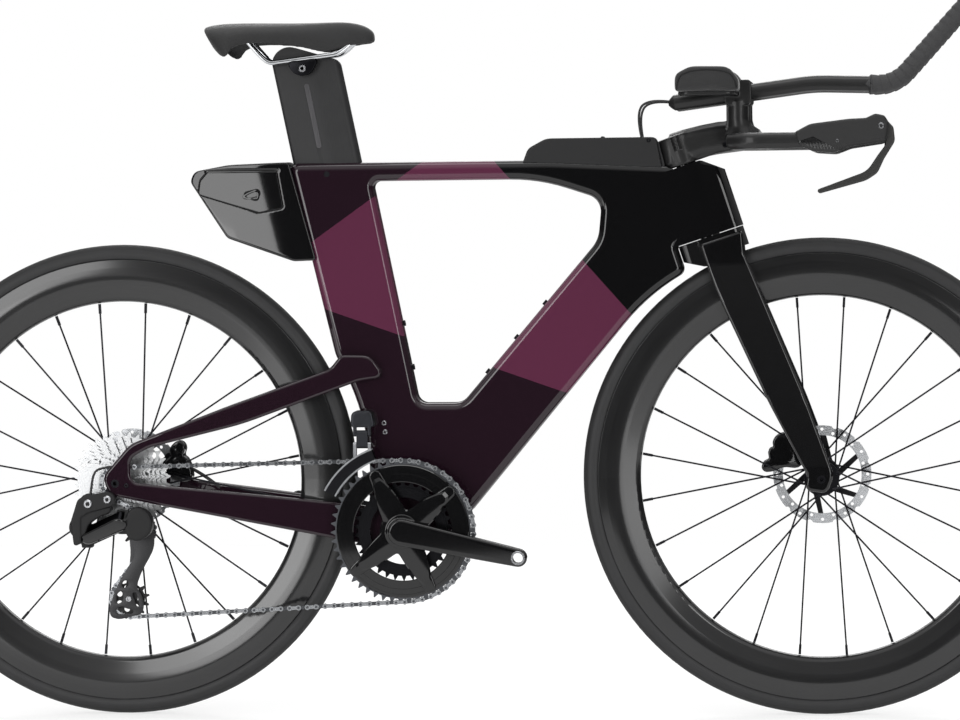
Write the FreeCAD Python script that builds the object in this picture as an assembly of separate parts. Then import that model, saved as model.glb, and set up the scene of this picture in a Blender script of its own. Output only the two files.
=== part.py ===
import FreeCAD, Part
import math
import os

from FreeCAD import Placement, Rotation, Vector

os.makedirs("parts", exist_ok=True)

# Time trial bicycle, millimetres. X points forward, Y to the rider's left, Z up.
# The origin is on the ground halfway between the axles, so the drive side is at -Y.

# Driving dimensions: wheels
WHEELBASE = 1003.0
RIM_HOOK_RADIUS = 317.5
RIM_DEPTH = 60.5
BEAD_DROP = 6.1
TYRE_HEIGHT = 21.5
TYRE_WIDTH = 28.4
TYRE_TUCK = 3.0
RIM_WIDTH = 30.0
RIM_WALL = 2.2
SPOKE_COUNT = 24
SPOKE_WIDTH = 2.4
SPOKE_THICKNESS = 1.1
SPOKE_STANDOFF = 0.85
SPOKE_CROSS = 52.0
NIPPLE_WIDTH = 3.6
NIPPLE_OFFSET = 2.0
NIPPLE_LENGTH = 14.0
FLANGE_RADIUS = 25.0
FLANGE_HALF = 1.5
AXLE_RADIUS = 6.0
FRONT_OLD = 100.0
REAR_OLD = 142.0
FRONT_FLANGE_RIGHT = -36.0
FRONT_FLANGE_LEFT = 22.0
REAR_FLANGE_RIGHT = -17.0
REAR_FLANGE_LEFT = 33.0
ROTOR_RADIUS = 70.0
ROTOR_THICKNESS = 1.8
ROTOR_TRACK = 14.0
ROTOR_HOLES = 24
FRONT_ROTOR_Y = 39.0
REAR_ROTOR_Y = 56.0

# Driving dimensions: frame and fork
CHAINSTAY = 415.0
BB_DROP = 72.0
HEAD_ANGLE = 72.0
FORK_RAKE = 42.0
CROWN_RISE = 343.0
HEAD_LENGTH = 106.0
HEAD_WIDTH = 50.0
HEAD_NOSE = 50.0
TOP_TUBE_HEIGHT = 792.0
TOP_TUBE_DEPTH = 27.0
TUBE_WIDTH = 40.0
TUBE_ROUND = 11.0
SEAT_ANGLE = 78.6
SEAT_TUBE_SETBACK = 163.0
REAR_TYRE_GAP = 18.0
FRONT_TYRE_GAP = 12.0
FORK_TYRE_GAP = 7.0
BB_SHELL_RADIUS = 29.0
BB_SHELL_WIDTH = 68.0
BB_CUP_RADIUS = 20.5
BB_CUP_LIP = 3.5
CRANK_AXLE_RADIUS = 12.0
STAY_DROPOUT = 9.0
FORK_DROPOUT = 11.0
STEERER_RADIUS = 14.3
BEARING_RADIUS = 20.9
BEARING_HEIGHT = 7.0
CROWN_RADIUS = 47.0
CROWN_GAP = 1.5
COLLAR_RADIUS = 27.0
COLLAR_GAP = 1.0

# Driving dimensions: drivetrain
PITCH = 12.7
ROLLER_RADIUS = 3.8
ROLLER_PLAY = 0.25
TOOTH_TIP = 2.3
TOOTH_FLANK = 62.0
BIG_RING_TEETH = 50
SMALL_RING_TEETH = 34
COGS = (11, 12, 13, 14, 15, 17, 19, 21, 24, 27, 30, 34)
COG_SPACING = 3.55
COG_THICKNESS = 1.6
GUIDE_TEETH = 11
TENSION_TEETH = 13
BIG_RING_Y = -47.0
SMALL_RING_Y = -40.0
FIRST_COG_Y = -65.5
CHAIN_LINKS = 112
CHAIN_INNER_HALF = 1.1
CHAIN_PLATE = 0.7
CHAIN_PLATE_RADIUS = 3.9
CHAIN_STRAIGHT = 2.2
CRANK_LENGTH = 170.0
CRANK_ANGLE = -12.4
PEDAL_THREAD_RADIUS = 7.14
PEDAL_FACE = 73.0
CAGE_LENGTH = 100.0
GUIDE_X = 31.0
GUIDE_DROP = 67.0

# Driving dimensions: seat, cockpit and boxes
POST_CHORD = 99.0
POST_WIDTH = 26.0
POST_INSERTED = 110.0
POST_TRAVEL_DOWN = 22.0
RAIL_RADIUS = 3.5
RAIL_SPACING = 44.0
RAIL_SLOPE = 6.5
BAR_HALF_SPAN = 200.0
BAR_HEIGHT = 814.0
BAR_THICKNESS = 22.0
HORN_RADIUS = 11.0
EXTENSION_RADIUS = 11.0
EXTENSION_HALF_SPAN = 50.0
TAPE_THICKNESS = 2.2
LEVER_BODY_WIDTH = 28.0
LEVER_BLADE_WIDTH = 11.0
BOX_HALF_WIDTH = 26.0
BOX_WALL = 2.4
BENTO_HALF_WIDTH = 18.0
BENTO_WALL = 2.0

# Clearances
RUN = 0.06
SEAT = 0.05
GAP = 0.3
SLIDE = 0.15

# Anchor points in the side view, as (x, z)
TYRE_RADIUS = RIM_HOOK_RADIUS + TYRE_HEIGHT
BEAD_RADIUS = RIM_HOOK_RADIUS - BEAD_DROP
RIM_INNER_RADIUS = RIM_HOOK_RADIUS - RIM_DEPTH
REAR = (-WHEELBASE / 2, TYRE_RADIUS)
FRONT = (WHEELBASE / 2, TYRE_RADIUS)
BB = (REAR[0] + math.sqrt(CHAINSTAY ** 2 - BB_DROP ** 2), TYRE_RADIUS - BB_DROP)
HEAD_COS = math.cos(math.radians(HEAD_ANGLE))
HEAD_SIN = math.sin(math.radians(HEAD_ANGLE))
STEER_AXIS = Vector(-HEAD_COS, 0, HEAD_SIN)
FORK_FOOT = (FRONT[0] - FORK_RAKE * HEAD_SIN, FRONT[1] - FORK_RAKE * HEAD_COS)
CROWN_Z = FRONT[1] + CROWN_RISE
CROWN = (FORK_FOOT[0] - (CROWN_Z - FORK_FOOT[1]) * HEAD_COS / HEAD_SIN, CROWN_Z)
POST_LEAN = 1 / math.tan(math.radians(SEAT_ANGLE))
TUBE_HALF = TUBE_WIDTH / 2
ORIGIN = Vector(0, 0, 0)
ALONG_Y = Vector(0, 1, 0)


def head(u, v):
    """Side-view point u ahead of the steering axis and v above the fork crown."""
    return (CROWN[0] + u * HEAD_SIN - v * HEAD_COS, CROWN[1] + u * HEAD_COS + v * HEAD_SIN)


def from_bb(dx, dz):
    return (BB[0] + dx, BB[1] + dz)


def from_rear(dx, dz):
    return (REAR[0] + dx, REAR[1] + dz)


def from_front(dx, dz):
    return (FRONT[0] + dx, FRONT[1] + dz)


def polar(centre, radius, degrees):
    turn = math.radians(degrees)
    return (centre[0] + radius * math.cos(turn), centre[1] + radius * math.sin(turn))


def at(point, radius=0.0):
    """Outline corner with its rounding radius."""
    return (point[0], point[1], radius)


def side(y):
    return lambda a, b: Vector(a, y, b)


def plan(z):
    return lambda a, b: Vector(a, b, z)


def outline(corners, place):
    """Closed wire of straight runs, each corner (a, b, radius) rounded by a tangent arc.

    A rounding takes no more of a run than the run has."""
    count = len(corners)
    spots = [place(a, b) for a, b, _ in corners]
    runs = [spots[i].distanceToPoint(spots[(i + 1) % count]) for i in range(count)]
    halves = [(spots[i - 1] - spots[i]).getAngle(spots[(i + 1) % count] - spots[i]) / 2
              for i in range(count)]
    wanted = [corners[i][2] / math.tan(halves[i]) for i in range(count)]
    room = [min(1, runs[i] / max(wanted[i] + wanted[(i + 1) % count], 1e-9)) for i in range(count)]
    rounds = []
    for i, here in enumerate(spots):
        if corners[i][2] == 0:
            rounds.append((here, None, here))
            continue
        back = (spots[i - 1] - here).normalize()
        on = (spots[(i + 1) % count] - here).normalize()
        reach = wanted[i] * min(room[i - 1], room[i])
        radius = reach * math.tan(halves[i])
        middle = (back + on).normalize() * (radius / math.sin(halves[i]) - radius)
        rounds.append((here + back * reach, here + middle, here + on * reach))
    edges = []
    for i, (start, middle, finish) in enumerate(rounds):
        if middle is not None:
            edges.append(Part.Arc(start, middle, finish).toShape())
        following = rounds[(i + 1) % count][0]
        if finish.distanceToPoint(following) > 1e-6:
            edges.append(Part.LineSegment(finish, following).toShape())
    return Part.Wire(edges)


def slab(corners, y0, y1):
    """Side-view outline given thickness from y0 to y1."""
    return Part.Face(outline(corners, side(y0))).extrude(Vector(0, y1 - y0, 0))


def sheet(corners, z0, z1):
    """Plan-view outline given height from z0 to z1."""
    return Part.Face(outline(corners, plan(z0))).extrude(Vector(0, 0, z1 - z0))


def disc(centre, radius, y0, y1):
    """Cylinder about a cross axle at a side-view point."""
    return Part.makeCylinder(radius, y1 - y0, Vector(centre[0], y0, centre[1]), ALONG_Y)


def ring(centre, outer, inner, y0, y1):
    return disc(centre, outer, y0, y1).cut(disc(centre, inner, y0 - 1, y1 + 1))


def turned(centre, profile):
    """Solid of revolution about a cross axle; profile corners are (radius, y, rounding)."""
    wire = outline(profile, lambda a, b: Vector(centre[0] + a, b, centre[1]))
    return Part.Face(wire).revolve(Vector(centre[0], 0, centre[1]), ALONG_Y, 360)


def stadium(start, finish, r0, r1, y0, y1):
    """Tapered bar with round ends between two side-view points."""
    dx = finish[0] - start[0]
    dz = finish[1] - start[1]
    length = math.hypot(dx, dz)
    heading = math.atan2(dz, dx)
    lean = math.acos((r0 - r1) / length)
    edges = []
    upper0 = polar(start, r0, math.degrees(heading + lean))
    upper1 = polar(finish, r1, math.degrees(heading + lean))
    lower0 = polar(start, r0, math.degrees(heading - lean))
    lower1 = polar(finish, r1, math.degrees(heading - lean))
    far = polar(finish, r1, math.degrees(heading))
    near = polar(start, r0, math.degrees(heading) + 180)
    place = side(y0)
    edges.append(Part.LineSegment(place(*upper0), place(*upper1)).toShape())
    edges.append(Part.Arc(place(*upper1), place(*far), place(*lower1)).toShape())
    edges.append(Part.LineSegment(place(*lower1), place(*lower0)).toShape())
    edges.append(Part.Arc(place(*lower0), place(*near), place(*upper0)).toShape())
    return Part.Face(Part.Wire(edges)).extrude(Vector(0, y1 - y0, 0))


def rod(points, radius, bend):
    """Round bar along straight runs; bend gives each inner corner's arc radius."""
    spots = [Vector(*p) for p in points]
    bends = [bend] * (len(spots) - 2) if not isinstance(bend, (list, tuple)) else list(bend)
    edges = []
    last = spots[0]
    for i in range(1, len(spots) - 1):
        here = spots[i]
        back = (spots[i - 1] - here).normalize()
        on = (spots[i + 1] - here).normalize()
        half = back.getAngle(on) / 2
        reach = bends[i - 1] / math.tan(half)
        middle = (back + on).normalize() * (bends[i - 1] / math.sin(half) - bends[i - 1])
        start = here + back * reach
        finish = here + on * reach
        if last.distanceToPoint(start) > 1e-6:
            edges.append(Part.LineSegment(last, start).toShape())
        edges.append(Part.Arc(start, here + middle, finish).toShape())
        last = finish
    edges.append(Part.LineSegment(last, spots[-1]).toShape())
    section = Part.Wire(Part.makeCircle(radius, spots[0], spots[1] - spots[0]))
    return Part.Wire(edges).makePipeShell([section], True, False)


def mirrored(shape):
    return shape.mirror(ORIGIN, ALONG_Y)


def joined(shapes):
    return shapes[0].fuse(shapes[1:]).removeSplitter()


def softened(shape, radius, chosen):
    """Round the edges that the test picks."""
    return shape.makeFillet(radius, [edge for edge in shape.Edges if chosen(edge)])


def on_face(y):
    """Test for edges that lie in the plane Y = y."""
    return lambda edge: abs(edge.BoundBox.YMin - y) < 1e-4 and abs(edge.BoundBox.YMax - y) < 1e-4


def on_sides(half):
    return lambda edge: on_face(half)(edge) or on_face(-half)(edge)


def save(name, *shapes):
    solids = [solid for shape in shapes for solid in shape.Solids]
    Part.makeCompound(solids).exportStep("parts/" + name + ".step")


# Frame: a moulded carbon monocoque. The main triangle is a flat-sided aero section
# with rounded edges, a wider head tube in front and two hairpin stays behind.
def wheel_arc_corner(centre, radius, a0, a1):
    """Corner of the two tangents to a wheel cut-out between two angles."""
    return polar(centre, radius / math.cos(math.radians((a1 - a0) / 2)), (a0 + a1) / 2)


REAR_CUT = TYRE_RADIUS + REAR_TYRE_GAP
FRONT_CUT = TYRE_RADIUS + FRONT_TYRE_GAP
TOP_REAR = (BB[0] - SEAT_TUBE_SETBACK, TOP_TUBE_HEIGHT)
UNDER_TOP = TOP_TUBE_HEIGHT - TOP_TUBE_DEPTH
CROWN_CUT = CROWN_RADIUS + CROWN_GAP

main_outer = [
    at(TOP_REAR, 13),
    at((head(-240, 0)[0], TOP_TUBE_HEIGHT), 600),
    at(head(11, HEAD_LENGTH - 5), 14),
    at(head(10, 4), 14),
    at(head(-CROWN_CUT, 1), 6),
    at(head(-CROWN_CUT, -38), 12),
    at(wheel_arc_corner(FRONT, FRONT_CUT, 123, 143.5), 300),
    at(from_bb(50, -BB_SHELL_RADIUS), 40),
    at(polar(wheel_arc_corner(REAR, REAR_CUT, -15.3, 29.4), REAR_CUT * 0.444, 254.7), 12),
    at(wheel_arc_corner(REAR, REAR_CUT, -15.3, 29.4), REAR_CUT * 0.966),
    at(from_bb(-98, 249), 50),
]
main_hole = [
    at((BB[0] - 42, UNDER_TOP), 9),
    at((head(-227, 0)[0] - 26, UNDER_TOP), 260),
    at(head(-128.5, 98), 24),
    at(head(-151.5, 45), 45),
    at(from_bb(84, 180.5), 25),
    at(from_bb(21, 180.5), 16),
]
triangle = slab(main_outer, -TUBE_HALF, TUBE_HALF).cut(slab(main_hole, -TUBE_WIDTH, TUBE_WIDTH))
triangle = softened(triangle, TUBE_ROUND, on_sides(TUBE_HALF))


def head_prism(section, v0, v1):
    """Section (u, y, rounding) carried along the steering axis from v0 to v1."""
    def place(u, y):
        x, z = head(u, v0)
        return Vector(x, y, z)
    return Part.Face(outline(section, place)).extrude(STEER_AXIS * (v1 - v0))


def steer_cylinder(radius, v0, v1):
    x, z = head(0, v0)
    return Part.makeCylinder(radius, v1 - v0, Vector(x, 0, z), STEER_AXIS)


HEAD_HALF = HEAD_WIDTH / 2
nose_section = [
    (-62, TUBE_HALF - 2, 0),
    (6, HEAD_HALF, 60),
    (HEAD_NOSE, HEAD_HALF - 8, 15),
    (HEAD_NOSE, 8 - HEAD_HALF, 15),
    (6, -HEAD_HALF, 60),
    (-62, 2 - TUBE_HALF, 0),
]
nose_side = [
    at(head(-70, 0)),
    at(head(HEAD_NOSE + 5, 0)),
    at(head(HEAD_NOSE + 5, HEAD_LENGTH - 27), 8),
    at(head(21, HEAD_LENGTH), 8),
    at(head(-70, HEAD_LENGTH)),
]
head_tube = head_prism(nose_section, 0, HEAD_LENGTH).common(slab(nose_side, -HEAD_WIDTH, HEAD_WIDTH))
bb_shell = disc(BB, BB_SHELL_RADIUS, -BB_SHELL_WIDTH / 2, BB_SHELL_WIDTH / 2)

DROPOUT_IN = REAR_OLD / 2
DROPOUT_OUT = DROPOUT_IN + STAY_DROPOUT
stay_side = [
    at(from_bb(-24, 219), 9),
    at(from_bb(-46, 250), 22),
    at(from_bb(-88, 251), 10),
    at(from_bb(-104, 231), 30),
    at(from_rear(165, 110), 600),
    at(from_rear(22, 56), 45),
    at(from_rear(-20, 8), 20),
    at(from_rear(-7, -17), 14),
    at(from_rear(32, -25), 80),
    at(from_bb(-60, -20), 300),
    at(from_bb(0, -22)),
    at(from_bb(0, 25)),
    at(from_bb(-60, 36), 120),
    at(from_bb(-230, 56), 300),
    at(from_rear(22, 1.5), 14),
    at(from_rear(22, 36), 16),
    at(from_rear(50, 51), 50),
    at(from_rear(180, 82), 400),
    at(from_bb(-64, 213), 60),
]
stay_plan = [
    (BB[0] + 33, -16, 0),
    (BB[0] - 75, -19.5, 60),
    (BB[0] - 135, -27.5, 60),
    (REAR[0] + 68, -DROPOUT_IN + 8, 20),
    (REAR[0] + 50, -DROPOUT_IN, 20),
    (REAR[0] - 30, -DROPOUT_IN, 0),
    (REAR[0] - 30, -DROPOUT_OUT, 0),
    (REAR[0] + 70, -DROPOUT_OUT + 1, 60),
    (BB[0] - 130, -41, 60),
    (BB[0] - 72, -33.5, 60),
    (BB[0] + 33, -30, 0),
]
STAY_ROUND = 4.0


def stay_edge(edge):
    """Edges of a stay that show: ahead of the dropout they end at the bottom bracket."""
    box = edge.BoundBox
    upright = abs(box.XLength) < 1e-3 and abs(box.ZLength) < 1e-3
    return box.XMax < BB[0] - 1 and not upright


stay = slab(stay_side, -DROPOUT_OUT - 5, -5).common(sheet(stay_plan, 0, TOP_TUBE_HEIGHT))
stay = softened(stay, STAY_ROUND, stay_edge)
frame = joined([triangle, head_tube, bb_shell, stay, mirrored(stay)])


# Seatpost: an aero section carried along the seat angle, with a rounded head.
POST_HALF = POST_WIDTH / 2
POST_REAR = TOP_REAR[0] + 6.5
POST_TOP = TOP_TUBE_HEIGHT + 175


def post_section(grow):
    return [
        (POST_REAR - grow, POST_HALF - 4 + grow, 6 + grow),
        (POST_REAR + 55, POST_HALF + grow, 120),
        (POST_REAR + POST_CHORD + grow, POST_HALF - 1.5 + grow, 11 + grow),
        (POST_REAR + POST_CHORD + grow, 1.5 - POST_HALF - grow, 11 + grow),
        (POST_REAR + 55, -POST_HALF - grow, 120),
        (POST_REAR - grow, 4 - POST_HALF - grow, 6 + grow),
    ]


def post_prism(grow, z0, z1):
    """Post section at the seat collar, slid along the seat angle to span z0 to z1."""
    face = Part.Face(outline(post_section(grow), plan(TOP_TUBE_HEIGHT)))
    face.translate(Vector(-POST_LEAN * (z0 - TOP_TUBE_HEIGHT), 0, z0 - TOP_TUBE_HEIGHT))
    return face.extrude(Vector(-POST_LEAN * (z1 - z0), 0, z1 - z0))


def post_x(z, along):
    """X at height z of a place that far ahead of the post's rear edge."""
    return POST_REAR + along - POST_LEAN * (z - TOP_TUBE_HEIGHT)


POST_FOOT = TOP_TUBE_HEIGHT - POST_INSERTED
post_side = [
    at((post_x(POST_FOOT, -5), POST_FOOT)),
    at((post_x(POST_TOP + 2, 0), POST_TOP + 2), 26),
    at((post_x(POST_TOP - 29, POST_CHORD), POST_TOP - 29), 18),
    at((post_x(POST_FOOT, POST_CHORD + 5), POST_FOOT)),
]
seatpost = post_prism(0, POST_FOOT, POST_TOP + 10).common(slab(post_side, -POST_WIDTH, POST_WIDTH))
GROOVE_TOP = TOP_TUBE_HEIGHT + 108
groove = stadium((post_x(GROOVE_TOP, 42), GROOVE_TOP), (post_x(POST_FOOT, 42), POST_FOOT), 2.5, 2.4,
                 -POST_WIDTH, -POST_HALF + 1.2)
seatpost = seatpost.cut(groove).cut(mirrored(groove))
post_pocket = post_prism(SLIDE, POST_FOOT - POST_TRAVEL_DOWN - GAP, TOP_TUBE_HEIGHT + 5)

# Bearings and screws held by the frame
BB_HALF = BB_SHELL_WIDTH / 2
cup = joined([
    ring(BB, BB_CUP_RADIUS - SEAT, CRANK_AXLE_RADIUS + RUN, -BB_HALF - BB_CUP_LIP, -BB_HALF + 14),
    ring(BB, BB_CUP_RADIUS + 2.5, CRANK_AXLE_RADIUS + RUN, -BB_HALF - BB_CUP_LIP, -BB_HALF),
])
lower_bearing = steer_cylinder(BEARING_RADIUS - SEAT, 0, BEARING_HEIGHT)
lower_bearing = lower_bearing.cut(steer_cylinder(STEERER_RADIUS + RUN, -1, BEARING_HEIGHT + 1))
upper_bearing = lower_bearing.translated(STEER_AXIS * (HEAD_LENGTH - BEARING_HEIGHT))
save("frame_bearings", cup, mirrored(cup), lower_bearing, upper_bearing)

SCREW_HEAD_RADIUS = 4.2
SCREW_HEAD = 3.5
SCREW_RADIUS = 2.5
SCREW_DEPTH = 12.0


def boss_screw(start, finish, distance, grow):
    """Button-head screw standing square on the run from start to finish, on its left."""
    heading = math.atan2(finish[1] - start[1], finish[0] - start[0])
    foot = polar(start, distance, math.degrees(heading))
    out = Vector(-math.sin(heading), 0, math.cos(heading))
    base = Vector(foot[0], 0, foot[1])
    shank = Part.makeCylinder(SCREW_RADIUS + grow, SCREW_DEPTH + 2, base - out * SCREW_DEPTH, out)
    button = Part.makeCylinder(SCREW_HEAD_RADIUS + grow, SCREW_HEAD, base + out * SEAT, out)
    return shank.fuse(button)


SEAT_RUN = ((BB[0] - 42, UNDER_TOP), from_bb(21, 180.5))
DOWN_RUN = (from_bb(84, 180.5), head(-151.5, 45))
SEAT_LENGTH = math.hypot(SEAT_RUN[0][0] - SEAT_RUN[1][0], SEAT_RUN[0][1] - SEAT_RUN[1][1])
BOSS_PITCH = 64.0
bosses = [(SEAT_RUN, SEAT_LENGTH - 52), (SEAT_RUN, SEAT_LENGTH - 52 - BOSS_PITCH)]
bosses += [(DOWN_RUN, 57 + i * BOSS_PITCH) for i in range(3)]
CLAMP_SCREW = (post_x(TOP_TUBE_HEIGHT - 16, 47), TOP_TUBE_HEIGHT - 16)
clamp_screw = disc(CLAMP_SCREW, SCREW_HEAD_RADIUS, -TUBE_HALF + 0.5, -TUBE_HALF + 4)
save("frame_screws", clamp_screw, *[boss_screw(*run, d, 0) for run, d in bosses])

# Derailleur hanger: an insert in the right dropout that carries the rear derailleur.
HANGER_BOLT = from_rear(-9.5, -22)
HANGER_ROUND = 9.0
HANGER_SKIN = 1.5
HANGER_BOLT_RADIUS = 4.0


def hanger_plate(grow):
    return stadium(from_rear(2, 2), HANGER_BOLT, 9.2 + grow, HANGER_ROUND + grow,
                   -DROPOUT_OUT + HANGER_SKIN - grow, -DROPOUT_IN + grow)


hanger = hanger_plate(0).cut(disc(REAR, AXLE_RADIUS + SEAT, -DROPOUT_OUT, 0))
hanger = hanger.cut(disc(HANGER_BOLT, HANGER_BOLT_RADIUS + RUN, -DROPOUT_OUT, 0))
save("derailleur_hanger", hanger)

# Cuts in the frame
frame = frame.cut([
    disc(BB, BB_CUP_RADIUS, -BB_HALF - 5, BB_HALF + 5),
    steer_cylinder(STEERER_RADIUS + 2.5, -5, HEAD_LENGTH + 5),
    steer_cylinder(BEARING_RADIUS, -5, BEARING_HEIGHT + SEAT),
    steer_cylinder(BEARING_RADIUS, HEAD_LENGTH - BEARING_HEIGHT - SEAT, HEAD_LENGTH + 5),
    steer_cylinder(CROWN_CUT, -80, 0),
    steer_cylinder(COLLAR_RADIUS + COLLAR_GAP, HEAD_LENGTH, HEAD_LENGTH + 60),
    post_pocket,
    disc(REAR, AXLE_RADIUS + SEAT, -100, 100),
    hanger_plate(SEAT),
    disc(CLAMP_SCREW, SCREW_HEAD_RADIUS + SEAT, -TUBE_WIDTH, -TUBE_HALF + 4),
] + [boss_screw(*run, d, SEAT) for run, d in bosses])
save("frame", frame)
REAR_AXLE_END = DROPOUT_OUT - 1
rear_axle = disc(REAR, AXLE_RADIUS, -REAR_AXLE_END, REAR_AXLE_END)
rear_axle = rear_axle.cut(disc(REAR, 3, REAR_AXLE_END - 8, REAR_AXLE_END + 1))
rear_axle = rear_axle.cut(disc(REAR, 3, -REAR_AXLE_END - 1, -REAR_AXLE_END + 8))
save("rear_thru_axle", rear_axle)

# Fork: two blades under an aero crown, bridged above the tyre, with the steerer on top.
FORK_TOP = -0.8
FORK_IN = FRONT_OLD / 2
FORK_OUT = FORK_IN + FORK_DROPOUT
ARCH_HALF = 20.5
STEERER_TOP = HEAD_LENGTH + 42
CROWN_HALF = HEAD_HALF + 2
leg_side = [
    at(head(-16, FORK_TOP - 6), 4),
    at(head(HEAD_NOSE - 3, FORK_TOP - 6), 4),
    at(from_front(-106, 318), 30),
    at(from_front(-20.5, 112), 500),
    at(from_front(18, 6), 26),
    at(from_front(8, -20), 12),
    at(from_front(-23, -15), 8),
    at(from_front(-20, 6), 15),
    at(from_front(-75.5, 112), 500),
    at(from_front(-148.5, 269), 500),
]
leg_front = [
    (-ARCH_HALF, CROWN_Z + 30, 0),
    (-ARCH_HALF, FRONT[1] + 270, 80),
    (-FORK_IN, FRONT[1] + 25, 60),
    (-FORK_IN, FRONT[1] - 60, 0),
    (-FORK_OUT, FRONT[1] - 60, 0),
    (-FORK_OUT, FRONT[1] + 15, 60),
    (-CROWN_HALF - 4, CROWN_Z - 40, 80),
    (-CROWN_HALF, CROWN_Z + 30, 0),
]
LEG_ROUND = 4.0
leg_wire = outline(leg_front, lambda a, b: Vector(FRONT[0] - 260, a, b))
leg = slab(leg_side, -80, 0).common(Part.Face(leg_wire).extrude(Vector(360, 0, 0)))
leg = softened(leg, LEG_ROUND, lambda edge: edge.BoundBox.ZMax < CROWN_Z - 14 and edge.Length > 12)
crown_section = [
    (-CROWN_RADIUS, 17, 16),
    (-10, CROWN_HALF, 60),
    (HEAD_NOSE - 1, HEAD_HALF - 8, 15),
    (HEAD_NOSE - 1, 8 - HEAD_HALF, 15),
    (-10, -CROWN_HALF, 60),
    (-CROWN_RADIUS, -17, 16),
]
crown_side = [
    at(head(-CROWN_RADIUS - 5, FORK_TOP)),
    at(head(HEAD_NOSE + 5, FORK_TOP)),
    at(head(HEAD_NOSE + 5, -60)),
    at(from_front(-163, 300)),
    at(head(-CROWN_RADIUS - 5, -21)),
]
crown = head_prism(crown_section, -70, FORK_TOP).common(slab(crown_side, -60, 60))
steerer = steer_cylinder(STEERER_RADIUS, FORK_TOP - 2, STEERER_TOP)
fork = joined([crown, leg, mirrored(leg)])
fork = fork.cut(disc(FRONT, TYRE_RADIUS + FORK_TYRE_GAP, -ARCH_HALF, ARCH_HALF))
fork = fork.cut(disc(FRONT, AXLE_RADIUS + SEAT, -80, 80)).fuse(steerer)
FRONT_AXLE_END = FORK_OUT - 1
front_axle = disc(FRONT, AXLE_RADIUS, -FRONT_AXLE_END, FRONT_AXLE_END)
front_axle = front_axle.cut(disc(FRONT, 3, FRONT_AXLE_END - 8, FRONT_AXLE_END + 1))
front_axle = front_axle.cut(disc(FRONT, 3, -FRONT_AXLE_END - 1, -FRONT_AXLE_END + 8))
save("fork", fork)
save("front_thru_axle", front_axle)

# Wheels: deep carbon rims with clincher tyres, crossed steel spokes and disc hubs.
HUB_BARREL = 13.0
HUB_END_GAP = 0.3
CENTRE_LOCK_RADIUS = 17.0


def tyre(centre):
    """Clincher tyre with its inflated tube, as one ring that sits between the rim hooks."""
    seat_half = TYRE_WIDTH / 2 - TYRE_TUCK
    spot = lambda r, y: Vector(centre[0] + r, y, centre[1])
    round_radius = (seat_half ** 2 + TYRE_HEIGHT ** 2) / (2 * TYRE_HEIGHT)
    bulge = TYRE_RADIUS - round_radius
    edges = [
        Part.Arc(spot(RIM_HOOK_RADIUS, -seat_half), spot(bulge, -round_radius), spot(TYRE_RADIUS, 0)).toShape(),
        Part.Arc(spot(TYRE_RADIUS, 0), spot(bulge, round_radius), spot(RIM_HOOK_RADIUS, seat_half)).toShape(),
        Part.LineSegment(spot(RIM_HOOK_RADIUS, seat_half), spot(BEAD_RADIUS, seat_half)).toShape(),
        Part.LineSegment(spot(BEAD_RADIUS, seat_half), spot(BEAD_RADIUS, -seat_half)).toShape(),
        Part.LineSegment(spot(BEAD_RADIUS, -seat_half), spot(RIM_HOOK_RADIUS, -seat_half)).toShape(),
    ]
    return Part.Face(Part.Wire(edges)).revolve(Vector(centre[0], 0, centre[1]), ALONG_Y, 360)


def rim(centre):
    half = RIM_WIDTH / 2
    seat_half = TYRE_WIDTH / 2 - TYRE_TUCK + SEAT
    return turned(centre, [
        (RIM_HOOK_RADIUS, seat_half, 0),
        (RIM_HOOK_RADIUS, seat_half + RIM_WALL, 0.6),
        (RIM_HOOK_RADIUS - 24, half + 0.4, 90),
        (RIM_INNER_RADIUS, 8, 9),
        (RIM_INNER_RADIUS, -8, 9),
        (RIM_HOOK_RADIUS - 24, -half - 0.4, 90),
        (RIM_HOOK_RADIUS, -seat_half - RIM_WALL, 0.6),
        (RIM_HOOK_RADIUS, -seat_half, 0),
        (BEAD_RADIUS - SEAT, -seat_half, 0),
        (BEAD_RADIUS - SEAT, -6, 0),
        (BEAD_RADIUS - 4, -4, 0),
        (BEAD_RADIUS - 4, 4, 0),
        (BEAD_RADIUS - SEAT, 6, 0),
        (BEAD_RADIUS - SEAT, seat_half, 0),
    ])


def spoke_set(centre, flanges):
    """Bladed spokes alternate between the flanges, half of each side leading, half trailing."""
    spokes = []
    for i in range(SPOKE_COUNT):
        rim_turn = (i + 0.5) * 360 / SPOKE_COUNT
        lead = 1 if (i // 2) % 2 else -1
        flange = flanges[i % 2]
        inward = 1 if flange < 0 else -1
        foot = polar(centre, FLANGE_RADIUS - 3.5, rim_turn + lead * SPOKE_CROSS)
        tip = polar(centre, RIM_INNER_RADIUS - 0.8, rim_turn)
        beside = FLANGE_HALF + SPOKE_THICKNESS / 2 + (0.15 if lead == inward else SPOKE_STANDOFF)
        start = Vector(foot[0], flange + lead * beside, foot[1])
        finish = Vector(tip[0], -inward * NIPPLE_OFFSET, tip[1])
        run = finish - start
        spoke = Part.makeBox(SPOKE_WIDTH, SPOKE_THICKNESS, run.Length,
                             Vector(-SPOKE_WIDTH / 2, -SPOKE_THICKNESS / 2, 0))
        nipple = Part.makeBox(NIPPLE_WIDTH, NIPPLE_WIDTH, NIPPLE_LENGTH,
                              Vector(-NIPPLE_WIDTH / 2, -NIPPLE_WIDTH / 2, run.Length - NIPPLE_LENGTH))
        spoke = spoke.fuse(nipple)
        spoke.Placement = Placement(start, Rotation(ALONG_Y.cross(run), ALONG_Y, run, "ZYX"))
        spokes.append(spoke)
    return spokes


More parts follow.
